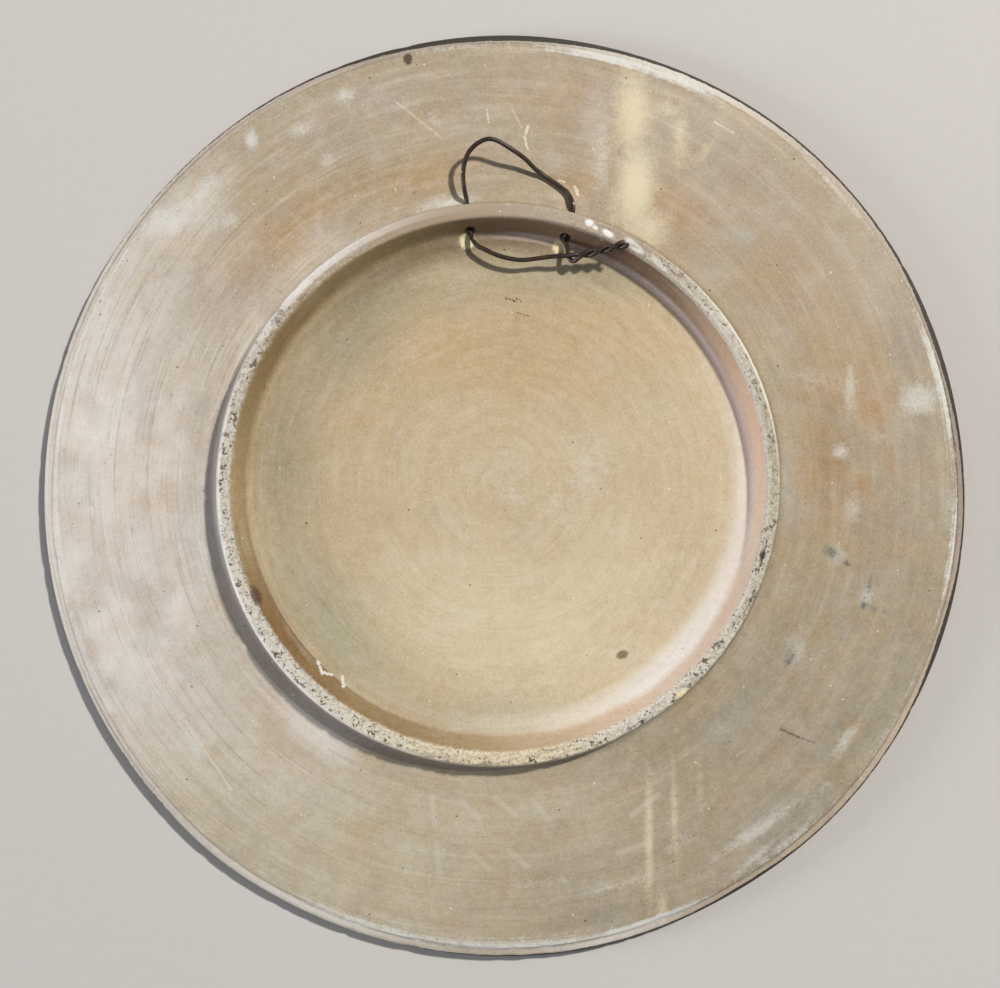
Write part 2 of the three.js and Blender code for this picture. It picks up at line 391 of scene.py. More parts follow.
groundPaint = {
    "colours": {
        "flange": "#b4a68e",
        "flangePale": "#ebe6de",
        "flangeSand": "#d2c8ad",
        "flangeOlive": "#aba289",
        "flangeOchre": "#b7986a",
        "flangeRust": "#b58f63",
        "flangePink": "#c3b2a2",
        "flangeGrey": "#b9b3a6",
        "flangeBlue": "#b3b5ae",
        "flangeMauve": "#a8978a",
        "flangeUmber": "#97805f",
        "flangeSlate": "#938f80",
        "floor": "#d2c09e",
        "floorOchre": "#c8ad82",
        "floorCream": "#e4d8b5",
        "floorSage": "#aca386",
        "floorGreen": "#c2bea2",
        "floorDust": "#c2b398",
        "coveCream": "#e9e4d6",
        "wallOchre": "#b3a27c",
        "wallBrown": "#836740",
        "wallPink": "#e0bda2",
        "wallShade": "#6c5343",
        "cornerShade": "#877457",
        "coveLilac": "#e0dbdb",
        "shadeMauve": "#ffe7e0",
        "freshClay": "#fff0c0",
        "ring": "#cdc6b4",
        "ringCream": "#ead9b0",
        "ringWhite": "#e6e2d8",
        "ringSmooth": "#ad9a82",
        "ringOlive": "#b3a88c",
        "outerWall": "#b8aa8f",
        "outerWhite": "#fdfbf6",
        "bead": "#bcaf9c",
        "beadPale": "#e6e1d6",
        "beadTan": "#cdbda7",
        "beadDark": "#a6988a",
        "lipStepShade": "#564d45",
        "footShade": "#8c7a5c",
    },
    # soft areas: colour, middle, half size, turn in degrees, strength
    "flangeAreas": [
        ("flangePale", (-150, -62), (100, 112), 0, 0.9),
        ("flangePale", (-165, 0), (84, 120), 0, 0.75),
        ("flangePale", (-138, 66), (78, 84), 0, 0.5),
        ("flangeSand", (-55, -128), (150, 78), -14, 0.85),
        ("flangeOlive", (128, -80), (70, 95), 35, 0.6),
        ("flangeOchre", (-32, 111), (34, 11), 14, 0.75),
        ("flangeRust", (-84, 86), (34, 16), 45, 0.4),
        ("flangeRust", (104, 76), (42, 26), -50, 0.32),
        ("flangeOchre", (110, 10), (14, 34), 4, 0.6),
        ("flangeOchre", (128, 44), (18, 30), 15, 0.4),
        ("flangeRust", (22, 140), (32, 13), -6, 0.35),
        ("flangeOchre", (24, 108), (15, 10), 0, 0.5),
        ("flangePink", (-105, 75), (42, 26), 50, 0.4),
        ("flangeGrey", (-50, 138), (34, 12), 20, 0.5),
        ("flangeGrey", (60, 136), (26, 15), -25, 0.6),
        ("flangeGrey", (95, -118), (40, 16), 40, 0.5),
        ("flangePale", (-18, 103), (16, 4), 4, 0.5),
        ("flangePale", (22, 105), (10, 5), -14, 0.45),
        ("flangePale", (-82, 62), (26, 16), 52, 0.4),
        ("flangeRust", (-86, -82), (26, 20), -40, 0.35),
        ("flangeOchre", (10, -122), (46, 12), 6, 0.3),
        ("flangeOchre", (-68, 101), (40, 9), 34, 0.5),
        ("flangeMauve", (34, 136), (26, 12), -10, 0.5),
        ("flangeMauve", (86, 112), (34, 18), -40, 0.45),
        ("flangeMauve", (112, 34), (14, 9), 10, 0.6),
        ("flangeBlue", (-97, -2), (9, 26), 8, 0.6),
        ("flangeBlue", (98, 4), (8, 24), 0, 0.55),
        ("flangeBlue", (80, -78), (26, 10), 48, 0.45),
        ("flangeBlue", (84, 92), (9, 6), -30, 0.5),
        ("flangeRust", (130, 30), (8, 15), 12, 0.95),
        ("flangeRust", (115, 8), (7, 19), 2, 0.9),
        ("flangeRust", (126, 4), (6, 10), 0, 0.7),
        ("flangeRust", (137, 13), (5, 12), 8, 0.5),
        ("flangeRust", (66, 92), (15, 18), -30, 0.3),
        ("flangeMauve", (142, 52), (9, 14), 20, 0.5),
        ("flangeMauve", (116, -118), (26, 7), 44, 0.5),
        ("flangeMauve", (94, -128), (22, 5), 40, 0.5),
        ("flangeRust", (124, -82), (8, 6), 0, 0.5),
        ("flangePale", (-70, -78), (34, 13), -42, 0.55),
        ("flangePale", (-150, 6), (34, 60), 0, 0.4),
        ("flangePale", (-118, -36), (24, 30), 20, 0.35),
        ("flangePale", (-132, 20), (40, 70), 0, 0.35),
        ("flangePale", (-112, 98), (30, 14), 46, 0.5),
        ("flangePale", (-64, -84), (26, 9), -40, 0.6),
        ("flangeOchre", (112, 18), (26, 60), 10, 0.35),
        ("flangePale", (-128, -20), (46, 84), 10, 0.42),
        ("flangePale", (-84, -92), (52, 30), -40, 0.35),
        ("flangeGrey", (122, 70), (30, 30), -40, 0.25),
        ("flangePale", (-142, -8), (44, 84), 4, 0.5),
        ("flangePale", (-121, 92), (24, 18), 46, 0.35),
        ("flangePale", (33, 128), (9, 30), 0, 0.45),
        ("flangeOchre", (110, 36), (17, 26), 8, 0.4),
        ("flangeOlive", (97, 34), (9, 22), 12, 0.4),
        ("flangeUmber", (114, 18), (14, 32), 8, 0.5),
        ("flangePale", (-68, 84), (24, 13), 50, 0.35),
        ("flangePale", (-138, -44), (34, 40), 10, 0.4),
        ("flangePale", (-152, 20), (20, 66), 0, 0.45),
        ("flangePale", (-122, 98), (16, 40), -40, 0.3),
        ("flangeSlate", (116, -96), (54, 15), 50, 0.5),
        ("flangeSlate", (147, -42), (14, 46), -16, 0.35),
        ("flangeSlate", (147, 36), (14, 52), 14, 0.35),
        ("flangeSlate", (34, -149), (42, 9), 10, 0.4),
        ("flangeSand", (14, -113), (62, 22), 6, 0.5),
        ("flangeRust", (60, 101), (17, 13), -20, 0.75),
        ("flangeOchre", (27, 109), (14, 10), 0, 0.5),
        ("flangeBlue", (-106, -12), (14, 36), 6, 0.4),
    ],
    "floorAreas": [
        ("floorOchre", (8, 56), (80, 42), 0, 0.95),
        ("floorOchre", (-45, 28), (24, 26), 0, 0.45),
        ("floorCream", (6, -48), (74, 42), 0, 0.9),
        ("floorSage", (-52, 62), (46, 26), 50, 0.9),
        ("floorSage", (20, 80), (52, 14), -8, 0.8),
        ("floorSage", (-80, 18), (22, 52), 0, 0.75),
        ("floorGreen", (-62, -46), (22, 58), 38, 0.9),
        ("floorGreen", (0, -78), (52, 14), 0, 0.6),
        ("floorDust", (-2, 2), (34, 22), -12, 0.15),
        ("floorCream", (-30, -32), (46, 36), 38, 0.35),
        ("floorCream", (38, -22), (32, 28), 0, 0.35),
        ("floorSage", (-10, 74), (78, 17), 0, 0.5),
        ("floorSage", (-40.5, -7.5), (7.0, 6.5), 0, 0.28),
        ("floorSage", (-24.5, -7.0), (8.0, 6.5), 10, 0.22),
    ],
    # colour, cloud size, seed, strength of clouds over the flange and over the floor
    "clouds": [
        ("flangeMauve", 19, 61, 0.24, 0.0),
        ("flangeOchre", 26, 62, 0.2, 0.0),
        ("flangeGrey", 15, 63, 0.25, 0.12),
        ("flangePale", 11, 64, 0.1, 0.08),
        ("floorOchre", 9, 65, 0.2, 0.15),
    ],
    "cloudStart": (0.5, 0.78),
    "cloudMix": (0.55, 0.45, 0.35, 50),  # share of broad and of small clouds, size and seed step of those
    # bands that fade in outward over the floor: colour, start, full radius, degrees, half width, strength
    "floorRings": [
        ("cornerShade", 76.0, 86.0, 100, 36, 1.0),
        ("coveCream", 79.0, 85.0, -50, 34, 1.0),
        ("coveCream", 81.5, 85.5, 4, 26, 0.55),
        ("coveCream", 79.0, 85.0, 270, 20, 0.3),
        ("coveLilac", 82.0, 86.0, -32, 30, 0.6),
    ],
    # areas round the foot or the rim: colour, degrees, half width in degrees, strength
    "wallAreas": [
        ("wallPink", 4, 44, 1.0),
        ("coveCream", -14, 18, 0.4),
        ("wallPink", -50, 38, 0.85),
        ("coveCream", -48, 30, 0.35),
        ("wallShade", 62, 24, 0.9),
        ("wallShade", 88, 18, 0.55),
        ("wallBrown", 218, 26, 1.0),
        ("wallBrown", 150, 26, 0.65),
        ("wallBrown", 250, 16, 0.35),
    ],
    "ringAreas": [
        ("ringCream", 262, 34, 0.9),
        ("ringWhite", 175, 26, 0.4),
        ("ringWhite", 300, 12, 0.6),
        ("ringSmooth", 104, 34, 1.0),
        ("ringSmooth", 140, 20, 0.6),
        ("ringOlive", 6, 22, 0.6),
        ("ringWhite", 36, 14, 0.4),
        ("ringSmooth", 62, 15, 0.75),
        ("ringWhite", 230, 30, 0.65),
        ("ringWhite", 206, 18, 0.5),
        ("ringWhite", 322, 22, 0.4),
    ],
    "beadAreas": [
        ("beadPale", 182, 48, 0.8),
        ("beadPale", 243, 18, 0.9),
        ("beadPale", 66, 15, 1.0),
        ("beadPale", 284, 9, 1.0),
        ("beadTan", 328, 26, 1.0),
        ("beadDark", 4, 13, 1.0),
        ("beadDark", 104, 12, 0.8),
    ],
    "outerAreas": [
        # the white at the left is partly pale slip and partly painted highlight where the low left light
        # catches the outer wall
        ("outerWhite", 205, 48, 1.0),
        ("outerWhite", 290, 26, 0.5),
        ("footShade", 30, 50, 0.9),
    ],
    # thin lines: radius, half width, degrees, half width in degrees, colour, strength; the lip's lines are
    # painted shade in the small step and groove inside the lip
    "lipStepShades": [
        (161.75, 0.5, 6, 22, "lipStepShade", 1.0),
        (162.9, 0.45, 143, 22, "lipStepShade", 0.75),
        (163.1, 0.4, 210, 10, "lipStepShade", 0.6),
        (161.5, 0.35, -45, 40, "lipStepShade", 0.4),
        (161.4, 0.35, 95, 26, "lipStepShade", 0.5),
        (161.5, 0.35, 182, 50, "lipStepShade", 0.35),
        (161.6, 0.35, 262, 14, "lipStepShade", 0.5),
    ],
    "coveLines": [
        (87.9, 0.5, 222, 34, "coveCream", 0.28),
        (88.7, 0.5, 222, 34, "wallShade", 0.5),
    ],
    # radii or heights between which one part's colour passes into the next
    "beadStart": (161.2, 161.7),
    "outerStart": (18.2, 19.4),
    "wallStart": (85.6, 89.2),
    "brownStart": (86.2, 89.0),
    "bandStart": (85.9, 86.8),
    "bandEnd": (89.2, 88.0),
    # degrees round the foot, half width in degrees, amount
    "coveClimbs": [(-42, 44, 1.84), (24, 30, 0.96)],  # the pale cove climbs higher at the right
    "wallFades": [(172, 40, 4.2), (238, 30, 1.96)],  # at the left the wall fades into the floor
    # painted light: where the pale shadeMauve lifts the ring's cast shadow on the cove
    "shadeBand": [(30, 30, 0.85), (82, 9, 0.595)],
    "roundedInside": [(215, 50, 1.0), (145, 28, 1.0)],  # the ring's inner edge is rubbed round here
    "wallUneven": (7, 71, 1.6),  # cloud size, seed, millimetres
    # start, full radius, degrees, half width, strength
    "footShadow": (101.6, 98.6, 26, 44, 0.75),
    # painted light in part: the ring's inner edge at the right is whitened, partly its rough pale edge,
    # partly to offset the shade where its rounding faces away from the key lamp
    "innerWhite": (94.4, 93.4, 16, 30, 0.7),
    # degrees round the foot, half width in degrees, radius where the white edge starts, strength; the white
    # is partly rubbed slip and partly painted highlight where the low left light catches the ring's outer
    # rounding
    "ringWhites": [
        (226, 28, 97.3, 1.0),
        (200, 14, 96.8, 1.0),
        (176, 18, 95.9, 1.0),
        (134, 24, 94.7, 0.75),
        (24, 22, 96.6, 0.7),
    ],
    "clayChips": [(61.2, -69.2, 2.0)],  # x, y, radius of fresh breaks
    "freshReach": (3.1, 2.5),  # how far the bare clay shows round each hole's inner mouth
    "freshPlace": (math.radians(0.9), -8.5, -1.7),  # turn, along the hole, and up
}

# where the marks of the back lie
markPlaces = {
    # pale rubbed places, cream runs, dark smudges: middle, half size, turn in degrees, strength
    "scuffs": [
        ((-120, 97), (12, 8), 45, 1.0), ((-113, 103), (10, 6), 50, 0.6),
        ((-107, 109), (11, 6), 48, 0.75), ((-98.6, 96.5), (9, 5), 30, 0.5),
        ((-90, 126.6), (4, 7), 10, 1.0), ((-72, 130), (8, 4), 20, 0.65), ((-63, 119), (5, 4), 20, 0.55),
        ((-57, 142.5), (6, 6), 20, 0.75), ((-25, 133), (8, 2), -48, 0.5),
        ((147, 34), (13, 10), 10, 0.85), ((122, 38), (3.5, 14), 0, 0.7), ((118.5, 15.4), (5, 5), 0, 0.8),
        ((108, 41), (12, 7), 0, 0.25), ((123, -4), (6, 9), -20, 0.5), ((132, 20), (6, 6), 0, 0.35),
        ((121, -87), (13, 3), 53, 0.8), ((89, -119), (29, 3.6), 34, 0.85),
        ((88, -130), (18, 2.6), 41, 0.7), ((113, -104), (10, 3), 48, 0.5),
        ((117, -21), (7, 6), -35, 0.55), ((128, -36), (5, 10), -10, 0.6),
        ((102, -54), (6, 11), -24, 0.6), ((105, -47), (3, 4), 0, 0.5), ((-110, -89), (3, 14), 32, 0.9),
        ((-104, -86), (2, 8), 10, 0.5), ((30, 8), (14, 20), -25, 0.4), ((20, -6), (11, 14), 20, 0.28),
        ((3, 0), (14, 4), -30, 0.45), ((14, -137), (24, 3), 6, 0.4), ((36, -139), (12, 3), 8, 0.5),
        ((-95, 20), (3, 12), 5, 0.4), ((-146, 60), (6, 18), -22, 0.6), ((-150, -23), (10, 26), 8, 0.5),
        ((-128, -62), (9, 16), 30, 0.4), ((-134, 30), (6, 20), -6, 0.4), ((60, -124), (10, 3), 35, 0.4),
        ((34, 118), (5, 26), 0, 0.45), ((-22, 101), (18, 3.5), 8, 0.6), ((46, -136), (9, 4), 20, 0.5),
    ],
    "runs": [
        ((45.5, 136), (12, 30), -1, 0.85), ((46, 108), (11.5, 28), -3, 1.0),
        ((50, 94), (15, 14), -8, 0.7), ((62.0, 127), (6, 20), -2, 0.6), ((57, 137), (14, 7), -14, 0.5),
        ((38, 98), (4, 16), 6, 0.4), ((71, 122), (3, 12), -34, 0.4), ((51, -122), (2.8, 40), 1, 0.8),
        ((60, -112), (2.6, 34), 3, 0.6), ((56, -146), (4, 12), 6, 0.6), ((69, -104), (3, 24), 2, 0.3),
        ((44, -92), (4, 14), -12, 0.3), ((-77, -100), (10, 6), 20, 0.2),
    ],
    "smudges": [
        ((115, -20), (6, 4), -35, 0.8), ((121, -24), (4, 2), -15, 1.0), ((129, -31), (7, 3), 70, 0.7),
        ((127, -39), (4, 3), 30, 0.9), ((131, -40.5), (2.4, 2), 30, 1.0),
        ((100.5, -56), (2.8, 8), -24, 1.0), ((92, -32), (8, 14), 0, 0.25), ((-32, 106), (2, 2), 0, 0.6),
        ((-6, 101.2), (8, 1.6), -4, 0.8), ((-55, -60), (2.5, 1.5), 0, 0.25),
    ],
    "runsEnd": (98.4, 100.6),  # runs stop at the foot
    # degrees round the rim, half width in degrees, width inward from the lip, strength
    "lipChalk": [
        (76, 11, 4.5, 0.85), (68, 7, 4.5, 0.8), (42, 10, 4, 0.45), (14, 11, 4.5, 0.8), (-6, 10, 4, 0.65),
        (-30, 12, 3.5, 0.3), (-52, 9, 6, 0.55), (-71, 9, 3.5, 1.2), (-90, 18, 5.5, 0.65),
        (-108, 14, 4, 0.75), (150, 22, 4, 0.4), (186, 22, 5, 0.5), (92, 14, 2.5, 0.35),
    ],
    "chalkEnd": (162.0, 161.3),
    # degrees round the rim, half width in degrees, how much further the edge paint laps over
    "edgeLaps": [
        (15, 18, 0.5), (75, 38, 0.5), (20, 9, 0.9), (342, 8, 1.2), (92, 16, 1.3), (302, 7, 0.6),
    ],
    "lapStart": 163.3,
    "lapFade": 1.2,
    "underside": ((5.0, 3.0), (150.0, 158.0)),  # heights and radii that the front's paint covers
    # degrees, half width in degrees, strength or amount
    "bareEdge": [(180, 50, 1.0), (240, 22, 1.0)],  # where the dark edge paint is rubbed off
    "bareStrength": 0.85,
    "ringFlecks": (92, 34, 0.7),
    "ringFlecksStart": ((91.5, 93.0), (24.0, 25.5)),  # radii and heights
    "fleckSpot": ((21.5, 105.5), (9, 5), -16),
    "calmRing": [(98, 34, 1.0), (20, 40, 0.3)],  # where the ring isn't crumbly
    "pitLine": (214, 40, 96.3, 0.6),  # degrees, half width in degrees, radius, half width
    "pitLineBend": (228, 24, 0.6),
    "crackedRight": (-35, 30, 0.2),
    "crackedLeft": (176, 34, 0.45),
    "crackedLeftEnd": (96.4, 95.4),
    # darker along the ring's outer top edge at the lower right: degrees, half width in degrees, strength
    "outerEdgeDark": (-38, 30, 1.0),
    "outerEdgeDarkHeights": (22.0, 24.0),
    "pitsStart": (92.9, 94.6),
    "pitsEnd": (97.2, 96.6),
    "pitsDepth": (0.2, 0.75),
    "pitsHeights": (23.0, 24.5),
    # radius and fade of the ring's inner edge, each with its growth by wear
    "ringEdge": (91.8, 0.3, 0.7, 1.3),
    "ringHeights": (24.2, 0.8),
    # painted shadow: the foot ring's cast shadow on the flange beside it, darkened into the colour: degrees,
    # spread, inner radius, width, reach of the mask, top
    "hollow": (215, 1.3, 97.9, 7.2, 3.0, 18.6),
    # brushing of the flange at most places, its growth at the left, degrees, half width, and on the inside
    "brushing": (0.22, 0.68, 172, 70, 0.24),
}


def spotMask(x, y, middle, half, turn):
    c = math.cos(math.radians(turn))
    s = math.sin(math.radians(turn))
    along = (x - middle[0]) * c + (y - middle[1]) * s
    across = (y - middle[1]) * c - (x - middle[0]) * s
    return smoothStep(1.0, 0.0, np.hypot(along / half[0], across / half[1]))


# smooth random values from 0 to 1 over the plate's plane
def cloudNoise(x, y, size, seed):
    reach = 200.0
    span = int(2 * reach / size) + 3
    grid = np.random.default_rng(seed).random((span, span))
    u = (x + reach) / size
    v = (y + reach) / size
    u0 = np.floor(u).astype(int)
    v0 = np.floor(v).astype(int)
    fu = smoothStep(0.0, 1.0, u - u0)
    fv = smoothStep(0.0, 1.0, v - v0)
    low = grid[u0, v0] * (1 - fv) + grid[u0, v0 + 1] * fv
    high = grid[u0 + 1, v0] * (1 - fv) + grid[u0 + 1, v0 + 1] * fv
    return low * (1 - fu) + high * fu


def laid(below, name, mask):
    paint = np.array(tone(groundPaint["colours"][name])[:3])
    return below + (paint - below) * mask[:, None]


def flatColour(name, count):
    return np.tile(np.array(tone(groundPaint["colours"][name])[:3]), (count, 1))


def passOver(below, above, mask):
    return below * (1 - mask[:, None]) + above * mask[:, None]


def paintSpots(colour, points, areas):
    for name, middle, half, turn, strength in areas:
        colour = laid(colour, name, spotMask(points.x, points.y, middle, half, turn) * strength)
    return colour


def paintRound(colour, turn, areas):
    for name, at, width, strength in areas:
        colour = laid(colour, name, roundMask(turn, at, width) * strength)
    return colour


def paintLines(colour, radius, turn, lines):
    for middle, half, at, width, name, strength in lines:
        line = smoothStep(half, 0.3 * half, np.abs(radius - middle)) * roundMask(turn, at, width)
        colour = laid(colour, name, line * strength)
    return colour


def paintBand(colour, points, name, start, full, at, width, strength):
    band = smoothStep(start, full, points.footRadius) * roundMask(points.footTurn, at, width)
    return laid(colour, name, band * strength)


def cloudMask(points, size, seed):
    broadShare, smallShare, smaller, seedStep = groundPaint["cloudMix"]
    cloud = broadShare * cloudNoise(points.x, points.y, size, seed)
    cloud += smallShare * cloudNoise(points.x, points.y, size * smaller, seed + seedStep)
    return ramp(cloud, groundPaint["cloudStart"])


# soft places round the plate, each given by degrees, half width and amount
def addedRound(turn, places):
    return sum(amount * roundMask(turn, at, width) for at, width, amount in places)


def strongestRound(turn, places):
    strongest = np.zeros_like(turn)
    for at, width, amount in places:
        strongest = np.maximum(strongest, amount * roundMask(turn, at, width))
    return strongest


def pointsOf(mesh):
    count = len(mesh.vertices)
    spots = np.empty(count * 3)
    mesh.vertices.foreach_get("co", spots)
    x, y, z = spots.reshape(-1, 3).T / mm
    footX, footY = plateShape["footShift"]
    points = SimpleNamespace(count=count, x=x, y=y, z=z)
    points.footRadius = np.hypot(x - footX, y - footY)
    points.footTurn = np.arctan2(y - footY, x - footX)
    points.rimRadius = np.hypot(x, y)
    points.rimTurn = np.arctan2(y, x)
    points.lipAway = points.rimRadius - roundnessOffset(points.rimTurn)
    points.outside = (points.footRadius > plateShape["footMiddleRadius"]).astype(float)
    return points


def paintFlange(points):
    colour = paintSpots(flatColour("flange", points.count), points, groundPaint["flangeAreas"])
    for name, size, seed, onFlange, _ in groundPaint["clouds"]:
        colour = laid(colour, name, cloudMask(points, size, seed) * onFlange)
    bead = paintRound(flatColour("bead", points.count), points.rimTurn, groundPaint["beadAreas"])
    colour = passOver(colour, bead, ramp(points.lipAway, groundPaint["beadStart"]))
    # painted shade in the small step inside the lip
    colour = paintLines(colour, points.lipAway, points.rimTurn, groundPaint["lipStepShades"])
    colour = paintBand(colour, points, "footShade", *groundPaint["footShadow"])
    outer = paintRound(flatColour("outerWall", points.count), points.footTurn, groundPaint["outerAreas"])
    return passOver(colour, outer, ramp(points.z, groundPaint["outerStart"]) * points.outside)


def paintInside(points):
    floor = paintSpots(flatColour("floor", points.count), points, groundPaint["floorAreas"])
    for name, size, seed, _, onFloor in groundPaint["clouds"]:
        floor = laid(floor, name, cloudMask(points, size, seed) * onFloor)
    for ring in groundPaint["floorRings"]:
        floor = paintBand(floor, points, *ring)
    wall = flatColour("wallOchre", points.count)
    for name, at, width, strength in groundPaint["wallAreas"]:
        reach = ramp(points.footRadius, groundPaint["brownStart"]) if name == "wallBrown" else 1.0
        wall = laid(wall, name, roundMask(points.footTurn, at, width) * strength * reach)
    size, seed, amount = groundPaint["wallUneven"]
    uneven = amount * (cloudNoise(points.x, points.y, size, seed) - 0.5)
    climb = points.footRadius - addedRound(points.footTurn, groundPaint["coveClimbs"]) + uneven
    start, full = groundPaint["wallStart"]
    start = start - addedRound(points.footTurn, groundPaint["wallFades"])
    inside = passOver(floor, wall, smoothStep(start, full, climb))
    # painted light: a pale mauve lifts the ring's cast shadow where it falls on the cove
    band = ramp(points.footRadius, groundPaint["bandStart"]) * ramp(points.footRadius, groundPaint["bandEnd"])
    band = band * strongestRound(points.footTurn, groundPaint["shadeBand"])
    inside = laid(inside, "shadeMauve", band)
    return paintLines(inside, points.footRadius, points.footTurn, groundPaint["coveLines"])


def paintMouths(colour, points):
    turn, along, up = groundPaint["freshPlace"]
    for angle, reach in zip(plateShape["holeAngles"], groundPaint["freshReach"]):
        mouth = alongHole(angle + turn, along, up)
        away = np.sqrt((points.x - mouth.x) ** 2 + (points.y - mouth.y) ** 2 + (points.z - mouth.z) ** 2)
        colour = laid(colour, "freshClay", smoothStep(reach, reach - 0.6, away))
    return colour


# the ring's white outer edge: partly rubbed slip, partly painted highlight
def whiteEdge(points):
    white = np.zeros(points.count)
    for at, width, start, strength in groundPaint["ringWhites"]:
        edge = smoothStep(start, start + 0.5, points.footRadius) * roundMask(points.footTurn, at, width)
        white = np.maximum(white, edge * strength)
    return white


def paintRing(points):
    ring = paintRound(flatColour("ring", points.count), points.footTurn, groundPaint["ringAreas"])
    for chipX, chipY, radius in groundPaint["clayChips"]:
        away = np.hypot(points.x - chipX, points.y - chipY) / radius
        ring = laid(ring, "freshClay", smoothStep(1.3, 0.7, away))
    ring = laid(ring, "outerWhite", whiteEdge(points))
    # the inner edge at the right: partly its pale edge, partly painted light where its rounding faces away
    # from the key lamp
    return paintBand(ring, points, "ringWhite", *groundPaint["innerWhite"])


# how strongly each kind of mark on the flange and the lip shows at each point
def flangeMasks(points):
    masks = {}
    for label in ("scuffs", "runs", "smudges"):
        mask = np.zeros(points.count)
        for middle, half, turn, strength in markPlaces[label]:
            mask = np.maximum(mask, spotMask(points.x, points.y, middle, half, turn) * strength)
        masks[label] = mask
    masks["runs"] *= ramp(points.footRadius, markPlaces["runsEnd"])
    chalk = np.zeros(points.count)
    lip = plateShape["lipRadius"]
    for at, width, inward, strength in markPlaces["lipChalk"]:
        band = smoothStep(lip - inward, lip - 0.25 * inward, points.rimRadius)
        band *= ramp(points.lipAway, markPlaces["chalkEnd"])
        chalk = np.maximum(chalk, band * roundMask(points.rimTurn, at, width) * strength)
    masks["lipChalk"] = chalk
    heights, radii = markPlaces["underside"]
    underside = ramp(points.z, heights) * ramp(points.rimRadius, radii)
    lapStart = markPlaces["lapStart"] - addedRound(points.rimTurn, markPlaces["edgeLaps"])
    lapping = smoothStep(lapStart, lapStart + markPlaces["lapFade"], points.lipAway)
    bare = strongestRound(points.rimTurn, markPlaces["bareEdge"])
    masks["edgePaint"] = np.maximum(underside, lapping) * (1 - markPlaces["bareStrength"] * bare)
    # how far inside the foot ring's painted cast shadow on the flange a point lies
    at, spread, inner, width, reach, top = markPlaces["hollow"]
    lean = np.clip(spread * angleAway(points.footTurn, at), -90.0, 90.0)
    depth = np.clip(inner + width * np.cos(np.radians(lean)) - points.footRadius, -reach, reach)
    masks["hollow"] = np.where((points.outside > 0) & (points.z < top), depth, -reach)
    least, growth, at, width, onFloor = markPlaces["brushing"]
    brushed = least + growth * roundMask(points.rimTurn, at, width)
    masks["turned"] = np.where(points.outside > 0, brushed, onFloor)
    return masks


# the same for the worn foot ring
def ringMasks(points):
    masks = {}
    radius = points.footRadius
    turn = points.footTurn
    worn = strongestRound(turn, groundPaint["roundedInside"])
    edge, edgeGrowth, soft, softGrowth = markPlaces["ringEdge"]
    low, rise = markPlaces["ringHeights"]
    fromInside = (radius - edge - edgeGrowth * worn) / (soft + softGrowth * worn)
    masks["ringReach"] = np.clip(np.minimum(fromInside, (points.z - low) / rise), -1.0, 2.0)
    radii, heights = markPlaces["ringFlecksStart"]
    ringFlecks = addedRound(turn, [markPlaces["ringFlecks"]]) * ramp(radius, radii) * ramp(points.z, heights)
    masks["flecks"] = np.maximum(spotMask(points.x, points.y, *markPlaces["fleckSpot"]), ringFlecks)
    crumbly = 1.0 - addedRound(turn, markPlaces["calmRing"])
    masks["crumbs"] = np.clip(crumbly, 0.0, 1.0) * (1 - whiteEdge(points))
    at, width, middle, half = markPlaces["pitLine"]
    middle = middle + addedRound(turn, [markPlaces["pitLineBend"]])
    pitLine = np.exp(-((radius - middle) / half) ** 2) * roundMask(turn, at, width)
    right = addedRound(turn, [markPlaces["crackedRight"]])
    left = addedRound(turn, [markPlaces["crackedLeft"]]) * ramp(radius, markPlaces["crackedLeftEnd"])
    masks["cracked"] = np.maximum(np.maximum(pitLine, right), left)
    edgeDark = addedRound(turn, [markPlaces["outerEdgeDark"]]) * points.outside
    masks["outerEdgeDark"] = edgeDark * ramp(points.z, markPlaces["outerEdgeDarkHeights"])
    inRing = ramp(radius, markPlaces["pitsStart"]) * ramp(radius, markPlaces["pitsEnd"])
    sunk = ramp(plateShape["footHeight"] - points.z, markPlaces["pitsDepth"])
    masks["pits"] = inRing * sunk * ramp(points.z, markPlaces["pitsHeights"])
    return masks


def paintGround(mesh):
    points = pointsOf(mesh)
    ground = np.where(points.outside[:, None] > 0, paintFlange(points), paintInside(points))
    ground = paintMouths(ground, points)
    opaque = np.ones((points.count, 1))
    for label, colour in (("groundColour", ground), ("ringColour", paintRing(points))):
        paint = mesh.attributes.new(label, "FLOAT_COLOR", "POINT")
        paint.data.foreach_set("color", np.hstack([colour, opaque]).ravel())
    for label, mask in (flangeMasks(points) | ringMasks(points)).items():
        kept = mesh.attributes.new(label, "FLOAT", "POINT")
        kept.data.foreach_set("value", mask)


paintGround(plate.data)
print("ground colours laid")

# wire hanger shape

